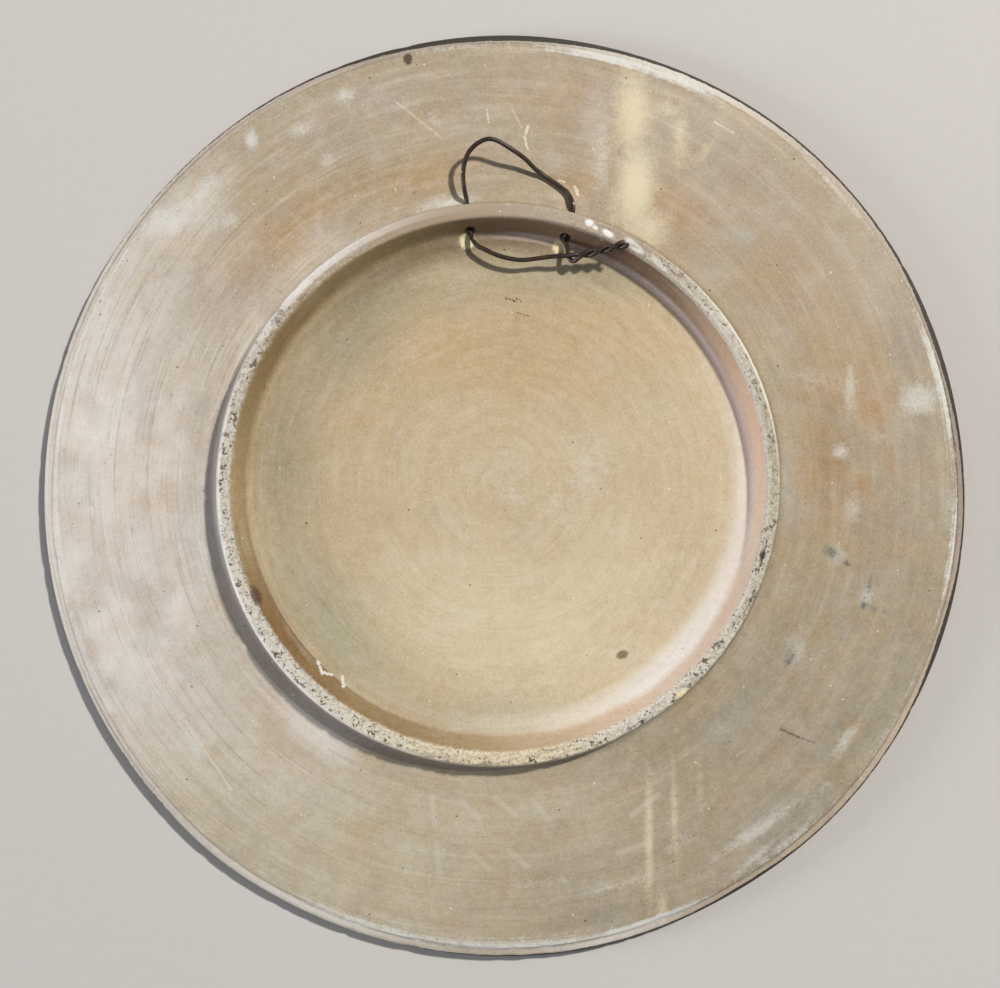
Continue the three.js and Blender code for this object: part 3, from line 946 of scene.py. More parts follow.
wireShape = {
    "radius": 0.82,
    "inHole": -0.8,
    "sides": 12,
    "stepLength": 0.32,
    "unevenness": 0.045,
    "twistRadius": 0.8,
    "twistTurns": 1.68,
    "twistStart": Vector((24.4, 82.8, 23.0)),
    "twistEnd": Vector((42.6, 86.8, 28.6)),
    "twistFirstAngle": math.radians(2.0),
    "twistPointsPerTurn": 12,
    "innerRun": [
        (20.2, 83.1, 23.2), (16.2, 83.0, 22.6), (11.2, 82.4, 22.2), (6.3, 81.9, 22.0),
        (1.8, 82.4, 21.9), (-2.7, 83.7, 21.6), (-7.1, 85.8, 21.0), (-10.0, 87.5, 20.0),
    ],
    "loop": [
        (-14.1, 106.8, 21.4), (-14.5, 111.6, 22.4), (-13.8, 116.0, 23.2), (-12.1, 119.5, 23.9),
        (-9.1, 122.2, 24.3), (-5.6, 123.5, 24.4), (-3.1, 123.1, 24.1), (-0.2, 121.7, 23.6),
        (3.3, 119.7, 22.5), (6.8, 117.6, 20.7), (10.8, 114.2, 18.2), (13.9, 112.1, 17.0),
        (18.9, 108.6, 17.2), (22.2, 105.7, 17.9),
    ],
    "stub": [
        (21.7, 87.4, 18.9), (22.0, 85.4, 20.2), (22.2, 83.4, 21.0), (22.9, 81.9, 21.6), (24.2, 81.5, 22.4),
    ],
    "holeStops": (-5.5, 0.0, 6.0),  # places along each hole that the wire runs through
    "secondStrand": (0.05, 0.93),  # the share of the twist that the other end takes up
    "seed": 23,
    "unevenSteps": 9,
    "endSizes": (0.62, 0.9),  # the cut ends are a little rounded
}


def twistStrand(firstAngle, start, end):
    along = wireShape["twistEnd"] - wireShape["twistStart"]
    side = Vector((0, 0, 1)).cross(along).normalized()
    over = along.cross(side).normalized()
    count = round(wireShape["twistTurns"] * wireShape["twistPointsPerTurn"] * (end - start))
    points = []
    for k in range(count + 1):
        share = start + k / count * (end - start)
        angle = firstAngle - share * wireShape["twistTurns"] * 2 * math.pi
        ray = side * math.cos(angle) + over * math.sin(angle)
        points.append(wireShape["twistStart"] + along * share + ray * wireShape["twistRadius"])
    return points


def wireRoute():
    holes = []
    for angle in plateShape["holeAngles"]:
        holes.append([alongHole(angle, out, wireShape["inHole"]) for out in wireShape["holeStops"]])
    first = wireShape["twistFirstAngle"]
    route = twistStrand(first, 0.0, 1.0)[::-1]
    route += [Vector(p) for p in wireShape["innerRun"]]
    route += holes[0]
    route += [Vector(p) for p in wireShape["loop"]]
    route += holes[1][::-1]
    route += [Vector(p) for p in wireShape["stub"]]
    route += twistStrand(first - math.pi, *wireShape["secondStrand"])
    return route


# a curve that runs through every point with no loops at close ones
def throughPoints(points, perSpan=14):
    ends = [points[0] * 2 - points[1]] + points + [points[-1] * 2 - points[-2]]
    curve = []
    for p0, p1, p2, p3 in zip(ends, ends[1:], ends[2:], ends[3:]):
        t1 = math.sqrt((p1 - p0).length)
        t2 = t1 + math.sqrt((p2 - p1).length)
        t3 = t2 + math.sqrt((p3 - p2).length)
        for k in range(perSpan):
            t = t1 + (t2 - t1) * k / perSpan
            a1 = p0.lerp(p1, t / t1)
            a2 = p1.lerp(p2, (t - t1) / (t2 - t1))
            a3 = p2.lerp(p3, (t - t2) / (t3 - t2))
            b1 = a1.lerp(a2, t / t2)
            b2 = a2.lerp(a3, (t - t1) / (t3 - t1))
            curve.append(b1.lerp(b2, (t - t1) / (t2 - t1)))
    curve.append(points[-1])
    return curve


def evenSteps(curve, step):
    spots = np.array([tuple(p) for p in curve])
    gone = np.concatenate([[0.0], np.cumsum(np.linalg.norm(np.diff(spots, axis=0), axis=1))])
    count = int(gone[-1] / step)
    wanted = np.linspace(0.0, gone[-1], count + 1)
    return np.stack([np.interp(wanted, gone, spots[:, axis]) for axis in range(3)], axis=1)


def buildWireMesh():
    rng = np.random.default_rng(wireShape["seed"])
    path = evenSteps(throughPoints(wireRoute()), wireShape["stepLength"])
    tangents = np.gradient(path, axis=0)
    tangents /= np.linalg.norm(tangents, axis=1)[:, None]
    count = len(path)
    sides = wireShape["sides"]
    stops = np.arange(0, count + wireShape["unevenSteps"], wireShape["unevenSteps"])
    coarse = np.interp(np.arange(count), stops, rng.uniform(-1, 1, len(stops)))
    normal = Vector((0, 0, 1)).cross(Vector(tangents[0])).normalized()
    verts = []
    for k in range(count):
        tangent = Vector(tangents[k])
        normal = (normal - tangent * normal.dot(tangent)).normalized()
        across = tangent.cross(normal)
        size = wireShape["radius"] * (1.0 + wireShape["unevenness"] * coarse[k])
        fromEnd = min(k, count - 1 - k)
        if fromEnd < len(wireShape["endSizes"]):
            size *= wireShape["endSizes"][fromEnd]
        for n in range(sides):
            turn = 2 * math.pi * n / sides
            rough = 1.0 + wireShape["unevenness"] * 0.5 * rng.uniform(-1, 1)
            ray = (normal * math.cos(turn) + across * math.sin(turn)) * size * rough
            verts.append((Vector(path[k]) + ray) * mm)
    faces = [list(range(sides - 1, -1, -1))]
    for k in range(count - 1):
        for n in range(sides):
            a = k * sides + n
            b = k * sides + (n + 1) % sides
            faces.append([a, b, b + sides, a + sides])
    faces.append([(count - 1) * sides + n for n in range(sides)])
    mesh = bpy.data.meshes.new("wireHanger")
    mesh.from_pydata(verts, [], faces)
    mesh.polygons.foreach_set("use_smooth", [True] * len(mesh.polygons))
    mesh.update()
    return mesh


wire = bpy.data.objects.new("wire_hanger_iron", buildWireMesh())
bpy.context.scene.collection.objects.link(wire)
print("wire mesh", len(wire.data.polygons), "faces")

# node helpers


def addNode(tree, kind, **settings):
    node = tree.nodes.new(kind)
    for name, value in settings.items():
        setattr(node, name, value)
    return node


def plug(tree, socket, value):
    if isinstance(value, bpy.types.NodeSocket):
        tree.links.new(value, socket)
    else:
        socket.default_value = value


def calc(tree, operation, *values):
    node = addNode(tree, "ShaderNodeMath", operation=operation)
    for socket, value in zip(node.inputs, values):
        plug(tree, socket, value)
    return node.outputs[0]


def calcVector(tree, operation, *values):
    node = addNode(tree, "ShaderNodeVectorMath", operation=operation)
    for socket, value in zip(node.inputs, values):
        plug(tree, socket, value)
    single = operation in ("LENGTH", "DISTANCE", "DOT_PRODUCT")
    return node.outputs["Value" if single else "Vector"]


def fade(tree, value, low, high):
    node = addNode(tree, "ShaderNodeMapRange", interpolation_type="SMOOTHSTEP")
    plug(tree, node.inputs["Value"], value)
    plug(tree, node.inputs["From Min"], low)
    plug(tree, node.inputs["From Max"], high)
    return node.outputs["Result"]


def noise(tree, vector, scale, detail=2.0, roughness=0.5):
    node = addNode(tree, "ShaderNodeTexNoise")
    plug(tree, node.inputs["Vector"], vector)
    node.inputs["Scale"].default_value = scale
    node.inputs["Detail"].default_value = detail
    node.inputs["Roughness"].default_value = roughness
    return node.outputs[0]


def layer(tree, mask, below, above, blend="MIX"):
    node = addNode(tree, "ShaderNodeMix", data_type="RGBA", blend_type=blend, clamp_factor=True)
    plug(tree, node.inputs[0], mask)
    plug(tree, node.inputs[6], below)
    plug(tree, node.inputs[7], above)
    return node.outputs[2]


def both(tree, *masks):
    made = masks[0]
    for mask in masks[1:]:
        made = calc(tree, "MULTIPLY", made, mask)
    return made


def newGroup(name, inputs, outputs):
    tree = bpy.data.node_groups.new(name, "ShaderNodeTree")
    for side, sockets in (("INPUT", inputs), ("OUTPUT", outputs)):
        for label, kind in sockets:
            tree.interface.new_socket(name=label, in_out=side, socket_type="NodeSocket" + kind)
    return tree, addNode(tree, "NodeGroupInput"), addNode(tree, "NodeGroupOutput")


def useGroup(tree, group, **values):
    node = addNode(tree, "ShaderNodeGroup", node_tree=group)
    for label, value in values.items():
        plug(tree, node.inputs[label.replace("_", " ")], value)
    return node


def newMaterial(name):
    material = bpy.data.materials.new(name)
    material.use_nodes = True
    return material, material.node_tree


def attribute(tree, name, output="Fac"):
    return addNode(tree, "ShaderNodeAttribute", attribute_name=name).outputs[output]


def strengthOf(tree, mask, strength):
    return calc(tree, "MULTIPLY", mask, strength)


def centred(tree, texture, strength):
    return strengthOf(tree, calc(tree, "SUBTRACT", texture, 0.5), strength)


# colour, roughness that follows a texture between two values, and a bump of strength and millimetres
def finishSurface(tree, colour, texture, roughness, relief, bumpSize):
    shader = tree.nodes["Principled BSDF"]
    plug(tree, shader.inputs["Base Color"], colour)
    gloss = addNode(tree, "ShaderNodeMapRange")
    plug(tree, gloss.inputs["Value"], texture)
    gloss.inputs["To Min"].default_value = roughness[0]
    gloss.inputs["To Max"].default_value = roughness[1]
    plug(tree, shader.inputs["Roughness"], gloss.outputs[0])
    bump = addNode(tree, "ShaderNodeBump")
    bump.inputs["Strength"].default_value = bumpSize[0]
    bump.inputs["Distance"].default_value = bumpSize[1] * mm
    plug(tree, bump.inputs["Height"], relief)
    plug(tree, shader.inputs["Normal"], bump.outputs[0])


# shared effects


# millimetres on the plate, distances from the rim's and the foot's middles,
# and a vector that follows the turning
def makePlateCoords():
    outputs = [("Place", "Vector"), ("Turned", "Vector"), ("Rim Radius", "Float"), ("Foot Radius", "Float")]
    tree, _, out = newGroup("plateCoords", [], outputs)
    where = addNode(tree, "ShaderNodeTexCoord").outputs["Object"]
    place = calcVector(tree, "MULTIPLY", where, (1000.0, 1000.0, 1000.0))
    flat = calcVector(tree, "MULTIPLY", place, (1.0, 1.0, 0.0))
    footX, footY = plateShape["footShift"]
    fromFoot = calcVector(tree, "SUBTRACT", flat, (footX, footY, 0.0))
    footRadius = calcVector(tree, "LENGTH", fromFoot)
    # a length that stops shrinking keeps the arcs calm near the middle
    calmer = calc(tree, "DIVIDE", 1.0, calc(tree, "MAXIMUM", footRadius, 55.0))
    heading = addNode(tree, "ShaderNodeSeparateXYZ")
    slowed = addNode(tree, "ShaderNodeVectorMath", operation="SCALE")
    plug(tree, slowed.inputs[0], fromFoot)
    plug(tree, slowed.inputs["Scale"], calmer)
    plug(tree, heading.inputs[0], slowed.outputs[0])
    turned = addNode(tree, "ShaderNodeCombineXYZ")
    plug(tree, turned.inputs[0], footRadius)
    plug(tree, turned.inputs[1], heading.outputs[0])
    plug(tree, turned.inputs[2], heading.outputs[1])
    plug(tree, out.inputs["Place"], place)
    plug(tree, out.inputs["Turned"], turned.outputs[0])
    plug(tree, out.inputs["Rim Radius"], calcVector(tree, "LENGTH", flat))
    plug(tree, out.inputs["Foot Radius"], footRadius)
    return tree


# an oval patch with a soft or ragged edge
def makeSoftSpot():
    inputs = [("Place", "Vector"), ("Centre", "Vector"), ("Half Size", "Vector"), ("Turn", "Float"),
              ("Softness", "Float"), ("Ragged", "Float")]
    tree, given, out = newGroup("softSpot", inputs, [("Mask", "Float")])
    offset = calcVector(tree, "SUBTRACT", given.outputs["Place"], given.outputs["Centre"])
    offset = calcVector(tree, "MULTIPLY", offset, (1.0, 1.0, 0.0))
    turnBack = addNode(tree, "ShaderNodeVectorRotate", rotation_type="Z_AXIS", invert=True)
    plug(tree, turnBack.inputs["Vector"], offset)
    plug(tree, turnBack.inputs["Angle"], given.outputs["Turn"])
    scaled = calcVector(tree, "DIVIDE", turnBack.outputs[0], given.outputs["Half Size"])
    reach = calc(tree, "ADD", calcVector(tree, "LENGTH", scaled), given.outputs["Ragged"])
    inner = calc(tree, "SUBTRACT", 1.0, given.outputs["Softness"])
    plug(tree, out.inputs["Mask"], fade(tree, reach, 1.0, inner))
    return tree


# a thin stroke from a start along a run; the run divided by its length squared gives the share along it
def makeLineMark():
    inputs = [("Place", "Vector"), ("Start", "Vector"), ("Run", "Vector"), ("Run Share", "Vector"),
              ("Half Width", "Float"), ("Core", "Float"), ("Fray", "Float"), ("Strength", "Float")]
    tree, given, out = newGroup("lineMark", inputs, [("Mask", "Float")])
    offset = calcVector(tree, "SUBTRACT", given.outputs["Place"], given.outputs["Start"])
    share = addNode(tree, "ShaderNodeMath", operation="ADD", use_clamp=True)
    plug(tree, share.inputs[0], calcVector(tree, "DOT_PRODUCT", offset, given.outputs["Run Share"]))
    share.inputs[1].default_value = 0.0
    nearest = addNode(tree, "ShaderNodeVectorMath", operation="SCALE")
    plug(tree, nearest.inputs[0], given.outputs["Run"])
    plug(tree, nearest.inputs["Scale"], share.outputs[0])
    away = calcVector(tree, "DISTANCE", offset, nearest.outputs[0])
    away = calc(tree, "ADD", away, given.outputs["Fray"])
    stroke = addNode(tree, "ShaderNodeMapRange", interpolation_type="SMOOTHSTEP")
    plug(tree, stroke.inputs["Value"], away)
    plug(tree, stroke.inputs["From Min"], given.outputs["Half Width"])
    plug(tree, stroke.inputs["From Max"], given.outputs["Core"])
    plug(tree, stroke.inputs["To Max"], given.outputs["Strength"])
    plug(tree, out.inputs["Mask"], stroke.outputs[0])
    return tree


# scattered dots, one at most to each cell, some pale and some dark
def makeSpeckle():
    inputs = [("Place", "Vector"), ("Spacing", "Float"), ("Size", "Float"), ("Pale Share", "Float"),
              ("Dark Share", "Float")]
    tree, given, out = newGroup("speckle", inputs, [("Pale", "Float"), ("Dark", "Float")])
    cells = addNode(tree, "ShaderNodeTexVoronoi", feature="F1")
    plug(tree, cells.inputs["Vector"], given.outputs["Place"])
    plug(tree, cells.inputs["Scale"], calc(tree, "DIVIDE", 1.0, given.outputs["Spacing"]))
    luck = addNode(tree, "ShaderNodeSeparateColor")
    plug(tree, luck.inputs[0], cells.outputs["Color"])
    spread = calc(tree, "MULTIPLY", luck.outputs[1], luck.outputs[1])
    size = calc(tree, "MULTIPLY", given.outputs["Size"], calc(tree, "ADD", spread, 0.12))
    dot = fade(tree, cells.outputs["Distance"], size, calc(tree, "MULTIPLY", size, 0.5))
    pale = calc(tree, "LESS_THAN", luck.outputs[0], given.outputs["Pale Share"])
    darkFrom = calc(tree, "SUBTRACT", 1.0, given.outputs["Dark Share"])
    dark = calc(tree, "GREATER_THAN", luck.outputs[0], darkFrom)
    plug(tree, out.inputs["Pale"], calc(tree, "MULTIPLY", dot, pale))
    plug(tree, out.inputs["Dark"], calc(tree, "MULTIPLY", dot, dark))
    return tree


# brush and tool lines left by the wheel
def makeTurnedStreaks():
    inputs = [("Turned", "Vector"), ("Fineness", "Float"), ("Shortness", "Float")]
    tree, given, out = newGroup("turnedStreaks", inputs, [("Streak", "Float")])
    stretch = addNode(tree, "ShaderNodeCombineXYZ")
    plug(tree, stretch.inputs[0], given.outputs["Fineness"])
    plug(tree, stretch.inputs[1], given.outputs["Shortness"])
    plug(tree, stretch.inputs[2], given.outputs["Shortness"])
    drawn = calcVector(tree, "MULTIPLY", given.outputs["Turned"], stretch.outputs[0])
    plug(tree, out.inputs["Streak"], noise(tree, drawn, 1.0, 2.0, 0.65))
    return tree


plateCoords = makePlateCoords()
softSpot = makeSoftSpot()
lineMark = makeLineMark()
speckle = makeSpeckle()
turnedStreaks = makeTurnedStreaks()
print("effect groups built")

# clay of the back

backClay = {
    "colours": {
        "scuff": "#e0e0d8",
        "run": "#eee3c3",
        "smudge": "#5f625f",
        "chalk": "#e8eae4",
        "edgePaint": "#2f2c28",
        "pit": "#45372a",
        "granule": "#978969",
        "streakDark": "#87745f",
        "paintedShadow": "#6e6262",
        "streakPale": "#ddd5c8",
        "creamSpeck": "#efe7d0",
        "darkSpeck": "#42362b",
        "spill": "#402b18",
        "stain": "#6b4d1c",
        # glossy drops on the ring, painted near white: partly their pale glaze, partly painted highlight
        "glazeHighlight": "#fbfbf8",
        "strokes": "#dcd6c6",
    },
    # round drops: middle, half size, turn in degrees, colour, strength
    "drops": [
        ((-34.5, 155.6), (2.1, 2.8), 10, "spill", 0.85), ((-86.2, -34.6), (2.0, 4.6), 22, "spill", 0.7),
        ((41.3, -55.8), (2.6, 1.9), 20, "stain", 0.75), ((29.2, 94.2), (2.1, 1.6), -20, "glazeHighlight", 1.0),
        ((31.2, 92.6), (1.4, 0.9), -30, "glazeHighlight", 1.0), ((35.6, 90.6), (2.7, 1.4), -32, "glazeHighlight", 1.0),
        ((44.8, 86.4), (5.2, 1.7), -40, "glazeHighlight", 0.7), ((53.2, 80.2), (5.4, 1.3), -47, "glazeHighlight", 0.4),
        ((89.1, -20.5), (1.5, 2.1), -14, "pit", 0.8),
    ],
    # start, end, half width, colour, strength
    "scratches": [
        ((8.3, 130.5), (7.0, 126.5), 0.55, "creamSpeck", 0.8),
        ((7.0, 126.5), (8.2, 122.0), 0.5, "creamSpeck", 0.8),
        ((-6.3, 137.0), (-5.6, 131.5), 0.5, "creamSpeck", 0.6),
        ((2.8, 136.5), (6.0, 130.0), 0.4, "creamSpeck", 0.4),
        ((97.5, -82.5), (104.0, -85.5), 0.7, "spill", 0.5),
        ((104.0, -85.5), (109.5, -87.5), 0.5, "spill", 0.4),
        ((-113.0, -80.0), (-97.0, -104.0), 0.5, "creamSpeck", 0.6),
        ((-39.0, 140.0), (-22.0, 126.0), 0.45, "creamSpeck", 0.4),
        ((0.6, 69.4), (1.8, 69.0), 0.4, "darkSpeck", 0.8),
        ((2.6, 68.8), (3.4, 68.0), 0.45, "darkSpeck", 0.8),
        ((4.2, 69.2), (5.6, 68.4), 0.35, "darkSpeck", 0.7),
        ((4.0, 64.2), (8.2, 63.0), 0.3, "darkSpeck", 0.5),
        ((24.6, 108.4), (25.8, 105.6), 0.75, "creamSpeck", 0.9),
        ((19.0, 110.8), (21.2, 110.0), 0.5, "creamSpeck", 0.8),
        ((-65.6, -58.0), (-63.8, -61.8), 0.7, "chalk", 0.9),
        ((-63.8, -61.8), (-60.6, -62.8), 0.75, "chalk", 0.9),
        ((-57.0, -63.5), (-56.4, -66.7), 0.8, "chalk", 0.9),
        ((74.6, 132.9), (81.4, 129.0), 0.4, "creamSpeck", 0.7),
        ((84.7, -35.0), (82.6, -39.6), 0.6, "pit", 0.8),
        ((-25.5, -106.0), (-24.5, -116.0), 1.5, "strokes", 0.44),
        ((-15.0, -107.5), (-9.0, -113.5), 1.5, "strokes", 0.40),
        ((-3.0, -106.5), (3.5, -112.0), 1.5, "strokes", 0.40),
        ((10.0, -107.0), (15.5, -114.0), 1.5, "strokes", 0.40),
        ((45.0, -112.5), (54.0, -105.5), 1.5, "strokes", 0.44),
        ((-24.0, -123.0), (-23.0, -133.5), 1.5, "strokes", 0.40),
        ((-12.0, -126.0), (-5.5, -132.0), 1.5, "strokes", 0.36),
        ((1.0, -125.0), (8.0, -131.0), 1.5, "strokes", 0.40),
        ((40.0, -126.5), (51.0, -122.5), 1.5, "strokes", 0.48),
    ],
    # scale for each millimetre, detail, roughness
    "patchy": (0.3, 3.0, 0.7),
    "grain": (1.1, 1.0, 0.65),
    "streakSizes": {"fine": (1.05, 1.8), "wide": (0.3, 3.2)},  # fineness, shortness
    # streaks, values where the colour starts and is full, colour, strength
    "streaks": [
        ("wide", 0.5, 0.76, "streakPale", 0.42),
        ("fine", 0.47, 0.26, "streakDark", 0.36),
        ("fine", 0.54, 0.78, "streakPale", 0.4),
    ],
    "hairline": (0.007, 0.001, 0.25),  # start, full, strength
    "shading": (0.25, 0.36, 0.4),  # how much wide streaks, patches and grain darken and lighten
    "paintedShadow": (-0.3, 0.5, 0.5),
    "broken": (0.9, 0.6, 0.75),  # shares of patches and grain in what breaks up a mark, and their middle
    # marks that break up along the grain: mask, colour, raggedness, start, full, strength
    "brokenMarks": [
        ("runs", "run", 0.5, 0.0, 1.0, 0.85),
        ("scuffs", "scuff", 0.85, 0.0, 1.0, 0.8),
        ("smudges", "smudge", 1.8, 0.22, 0.9, 0.8),
        ("lipChalk", "chalk", 0.8, 0.2, 0.9, 0.9),
    ],
    "chalkBrushing": (2.4, 0.5),
    "frays": (1.6, 2.4),  # how far grain and patches fray a scratch
    "spillFray": 0.4,
    "dropFray": 0.3,
    "dropSoftness": 0.5,
    "specks": {"Spacing": 2.4, "Size": 0.22, "Dark_Share": 0.08},
    "speckColours": [("Pale", "creamSpeck", 0.8), ("Dark", "darkSpeck", 0.7)],
    "paleSpecks": (0.7, 0.1),  # share of pale specks where the flecks lie, and everywhere
    "edgePaint": (0.9, 0.45, 0.65, 0.95),  # raggedness, start, full, strength
    "roughness": (0.5, 0.82),
    "grainRelief": 0.45,
    "bump": (0.4, 0.22),
    # the worn foot ring: raggedness of its edge, where its colour is full, then its grain and pits,
    # each with the values where it starts and is full, and its strength
    "ringRagged": 0.8,
    "ringFull": 0.9,
    "ringGrain": [(0.54, 0.38, "granule", 0.4), (0.52, 0.68, "chalk", 0.5)],
    "ringCracks": (0.13, -0.11, -0.19, 0.85),  # pull of the cracked places, start, full, strength
    "ringPits": (0.55, 0.42, 0.6),
    # darker along the ring's outer edge at the lower right
    "outerEdgeDark": ((96.9, 97.2), (0.4, 0.5), 0.7),  # radii, values of the patches, strength
    # the back is split so that each part's clay carries only the marks that lie on it,
    # which keeps renders short
    "zones": ["flangeUpper", "flangeMiddle", "flangeLower", "footUpper", "footLower"],
    "footEdge": 98.2,  # radius round the foot's middle
    "flangeSplits": (60.0, -70.0),
    "footSplit": 10.0,
}


def zoneNumbers(x, y):
    footX, footY = plateShape["footShift"]
    upper, lower = backClay["flangeSplits"]
    onFoot = np.hypot(x - footX, y - footY) < backClay["footEdge"]
    flange = np.where(y > upper, 0, np.where(y > lower, 1, 2))
    foot = np.where(y > backClay["footSplit"], 3, 4)
    return np.where(onFoot, foot, flange)


def mark(tree, colour, mask, name, strength):
    return layer(tree, strengthOf(tree, mask, strength), colour, tone(backClay["colours"][name]))


# streaks, patches and grain over the ground colour
def brushGround(tree, patchy, grain, streaks):
    colour = attribute(tree, "groundColour", "Color")
    turned = attribute(tree, "turned")
    for label, start, full, name, strength in backClay["streaks"]:
        streak = both(tree, fade(tree, streaks[label], start, full), turned)
        colour = mark(tree, colour, streak, name, strength)
    start, full, strength = backClay["hairline"]
    hairline = calc(tree, "ABSOLUTE", calc(tree, "SUBTRACT", streaks["wide"], 0.5))
    hairline = both(tree, fade(tree, hairline, start, full), turned)
    colour = mark(tree, colour, hairline, "streakDark", strength)
    for texture, strength in zip((streaks["wide"], patchy, grain), backClay["shading"]):
        colour = layer(tree, strength, colour, texture, "SOFT_LIGHT")
    return colour


# runs, rubbed places, smudges and chalk break up along the grain of the clay
def brokenMarks(tree, colour, onFoot, broken, fineStreak):
    brushing, chalkShare = backClay["chalkBrushing"]
    brushed = centred(tree, fineStreak, brushing)
    for label, name, ragged, start, full, strength in backClay["brokenMarks"]:
        if onFoot and label in ("runs", "lipChalk"):
            continue
        held = attribute(tree, label)
        reach = calc(tree, "ADD", held, strengthOf(tree, broken, ragged))
        if label == "lipChalk":
            reach = calc(tree, "ADD", reach, strengthOf(tree, brushed, chalkShare))
        mask = both(tree, fade(tree, reach, start, full), fade(tree, held, 0.0, 0.2))
        colour = mark(tree, colour, mask, name, strength)
    return colour


def scratchMarks(tree, colour, zone, place, fray, patchy):
    powdery = calc(tree, "ADD", fray, centred(tree, patchy, backClay["frays"][1]))
    frays = {"spill": strengthOf(tree, fray, backClay["spillFray"]), "strokes": powdery}
    flat = calcVector(tree, "MULTIPLY", place, (1.0, 1.0, 0.0))
    for start, finish, halfWidth, name, strength in backClay["scratches"]:
        if zoneNumbers(*start) != zone:
            continue
        run = Vector((*finish, 0.0)) - Vector((*start, 0.0))
        stroke = useGroup(
            tree, lineMark, Place=flat, Start=(*start, 0.0), Run=run, Run_Share=run / run.length_squared,
            Half_Width=halfWidth, Core=0.3 * halfWidth, Fray=frays.get(name, fray), Strength=strength,
        )
        colour = layer(tree, stroke.outputs["Mask"], colour, tone(backClay["colours"][name]))
    return colour


# the worn foot ring is granular, with dark pits and cracks, and darker along its outer edge at the lower
# right
def ringLook(tree, colour, footRadius, broken, grain, patchy):
    ragged = strengthOf(tree, broken, backClay["ringRagged"])
    ringTop = fade(tree, calc(tree, "ADD", attribute(tree, "ringReach"), ragged), 0.0, backClay["ringFull"])
    colour = layer(tree, ringTop, colour, attribute(tree, "ringColour", "Color"))
    onRing = both(tree, ringTop, attribute(tree, "crumbs"))
    for start, full, name, strength in backClay["ringGrain"]:
        colour = mark(tree, colour, both(tree, fade(tree, grain, start, full), onRing), name, strength)
    pull, start, full, strength = backClay["ringCracks"]
    cracking = calc(tree, "SUBTRACT", broken, strengthOf(tree, attribute(tree, "cracked"), pull))
    colour = mark(tree, colour, both(tree, fade(tree, cracking, start, full), onRing), "pit", strength)
    start, full, strength = backClay["ringPits"]
    pits = both(tree, attribute(tree, "pits"), fade(tree, patchy, start, full))
    colour = mark(tree, colour, pits, "pit", strength)
    radii, values, strength = backClay["outerEdgeDark"]
    edgeDarkMask = both(tree, fade(tree, footRadius, *radii), fade(tree, patchy, *values))
    return mark(tree, colour, both(tree, attribute(tree, "outerEdgeDark"), edgeDarkMask), "pit", strength)


def dropMarks(tree, colour, zone, place, fray):
    for middle, half, turn, name, strength in backClay["drops"]:
        if zoneNumbers(*middle) != zone:
            continue
        spot = useGroup(
            tree, softSpot, Place=place, Centre=(*middle, 0.0), Half_Size=(*half, 1.0),
            Turn=math.radians(turn), Softness=backClay["dropSoftness"],
            Ragged=strengthOf(tree, fray, backClay["dropFray"]),
        )
        colour = mark(tree, colour, spot.outputs["Mask"], name, strength)
    return colour


def makeBackClay(zone):
    zoneName = backClay["zones"][zone]
    onFoot = zoneName.startswith("foot")
    material, tree = newMaterial(zoneName + "Clay")
    coords = useGroup(tree, plateCoords).outputs
    place = coords["Place"]
    patchy = noise(tree, place, *backClay["patchy"])
    grain = noise(tree, place, *backClay["grain"])
    streaks = {}
    for label, (fineness, shortness) in backClay["streakSizes"].items():
        drawn = useGroup(tree, turnedStreaks, Turned=coords["Turned"], Fineness=fineness, Shortness=shortness)
        streaks[label] = drawn.outputs["Streak"]

    colour = brushGround(tree, patchy, grain, streaks)
    if not onFoot:
        # painted shadow: the flange is darkened where the foot ring's cast shadow falls
        start, full, strength = backClay["paintedShadow"]
        colour = mark(tree, colour, fade(tree, attribute(tree, "hollow"), start, full), "paintedShadow", strength)

    patchShare, grainShare, middle = backClay["broken"]
    broken = calc(tree, "ADD", strengthOf(tree, patchy, patchShare), strengthOf(tree, grain, grainShare))
    broken = calc(tree, "SUBTRACT", broken, middle)
    colour = brokenMarks(tree, colour, onFoot, broken, streaks["fine"])
    fray = centred(tree, grain, backClay["frays"][0])
    colour = scratchMarks(tree, colour, zone, place, fray, patchy)
    if onFoot:
        colour = ringLook(tree, colour, coords["Foot Radius"], broken, grain, patchy)
    colour = dropMarks(tree, colour, zone, place, fray)

    inFlecks, everywhere = backClay["paleSpecks"]
    paleShare = calc(tree, "ADD", strengthOf(tree, attribute(tree, "flecks"), inFlecks), everywhere)
    specks = useGroup(tree, speckle, Place=place, Pale_Share=paleShare, **backClay["specks"])
    for label, name, strength in backClay["speckColours"]:
        colour = mark(tree, colour, specks.outputs[label], name, strength)

    # paint from the front laps over the edge
    if not onFoot:
        ragged, start, full, strength = backClay["edgePaint"]
        lapped = calc(tree, "ADD", attribute(tree, "edgePaint"), strengthOf(tree, broken, ragged))
        colour = mark(tree, colour, fade(tree, lapped, start, full), "edgePaint", strength)

    relief = calc(tree, "ADD", streaks["fine"], strengthOf(tree, grain, backClay["grainRelief"]))
    finishSurface(tree, colour, patchy, backClay["roughness"], relief, backClay["bump"])
    return material


# painted front

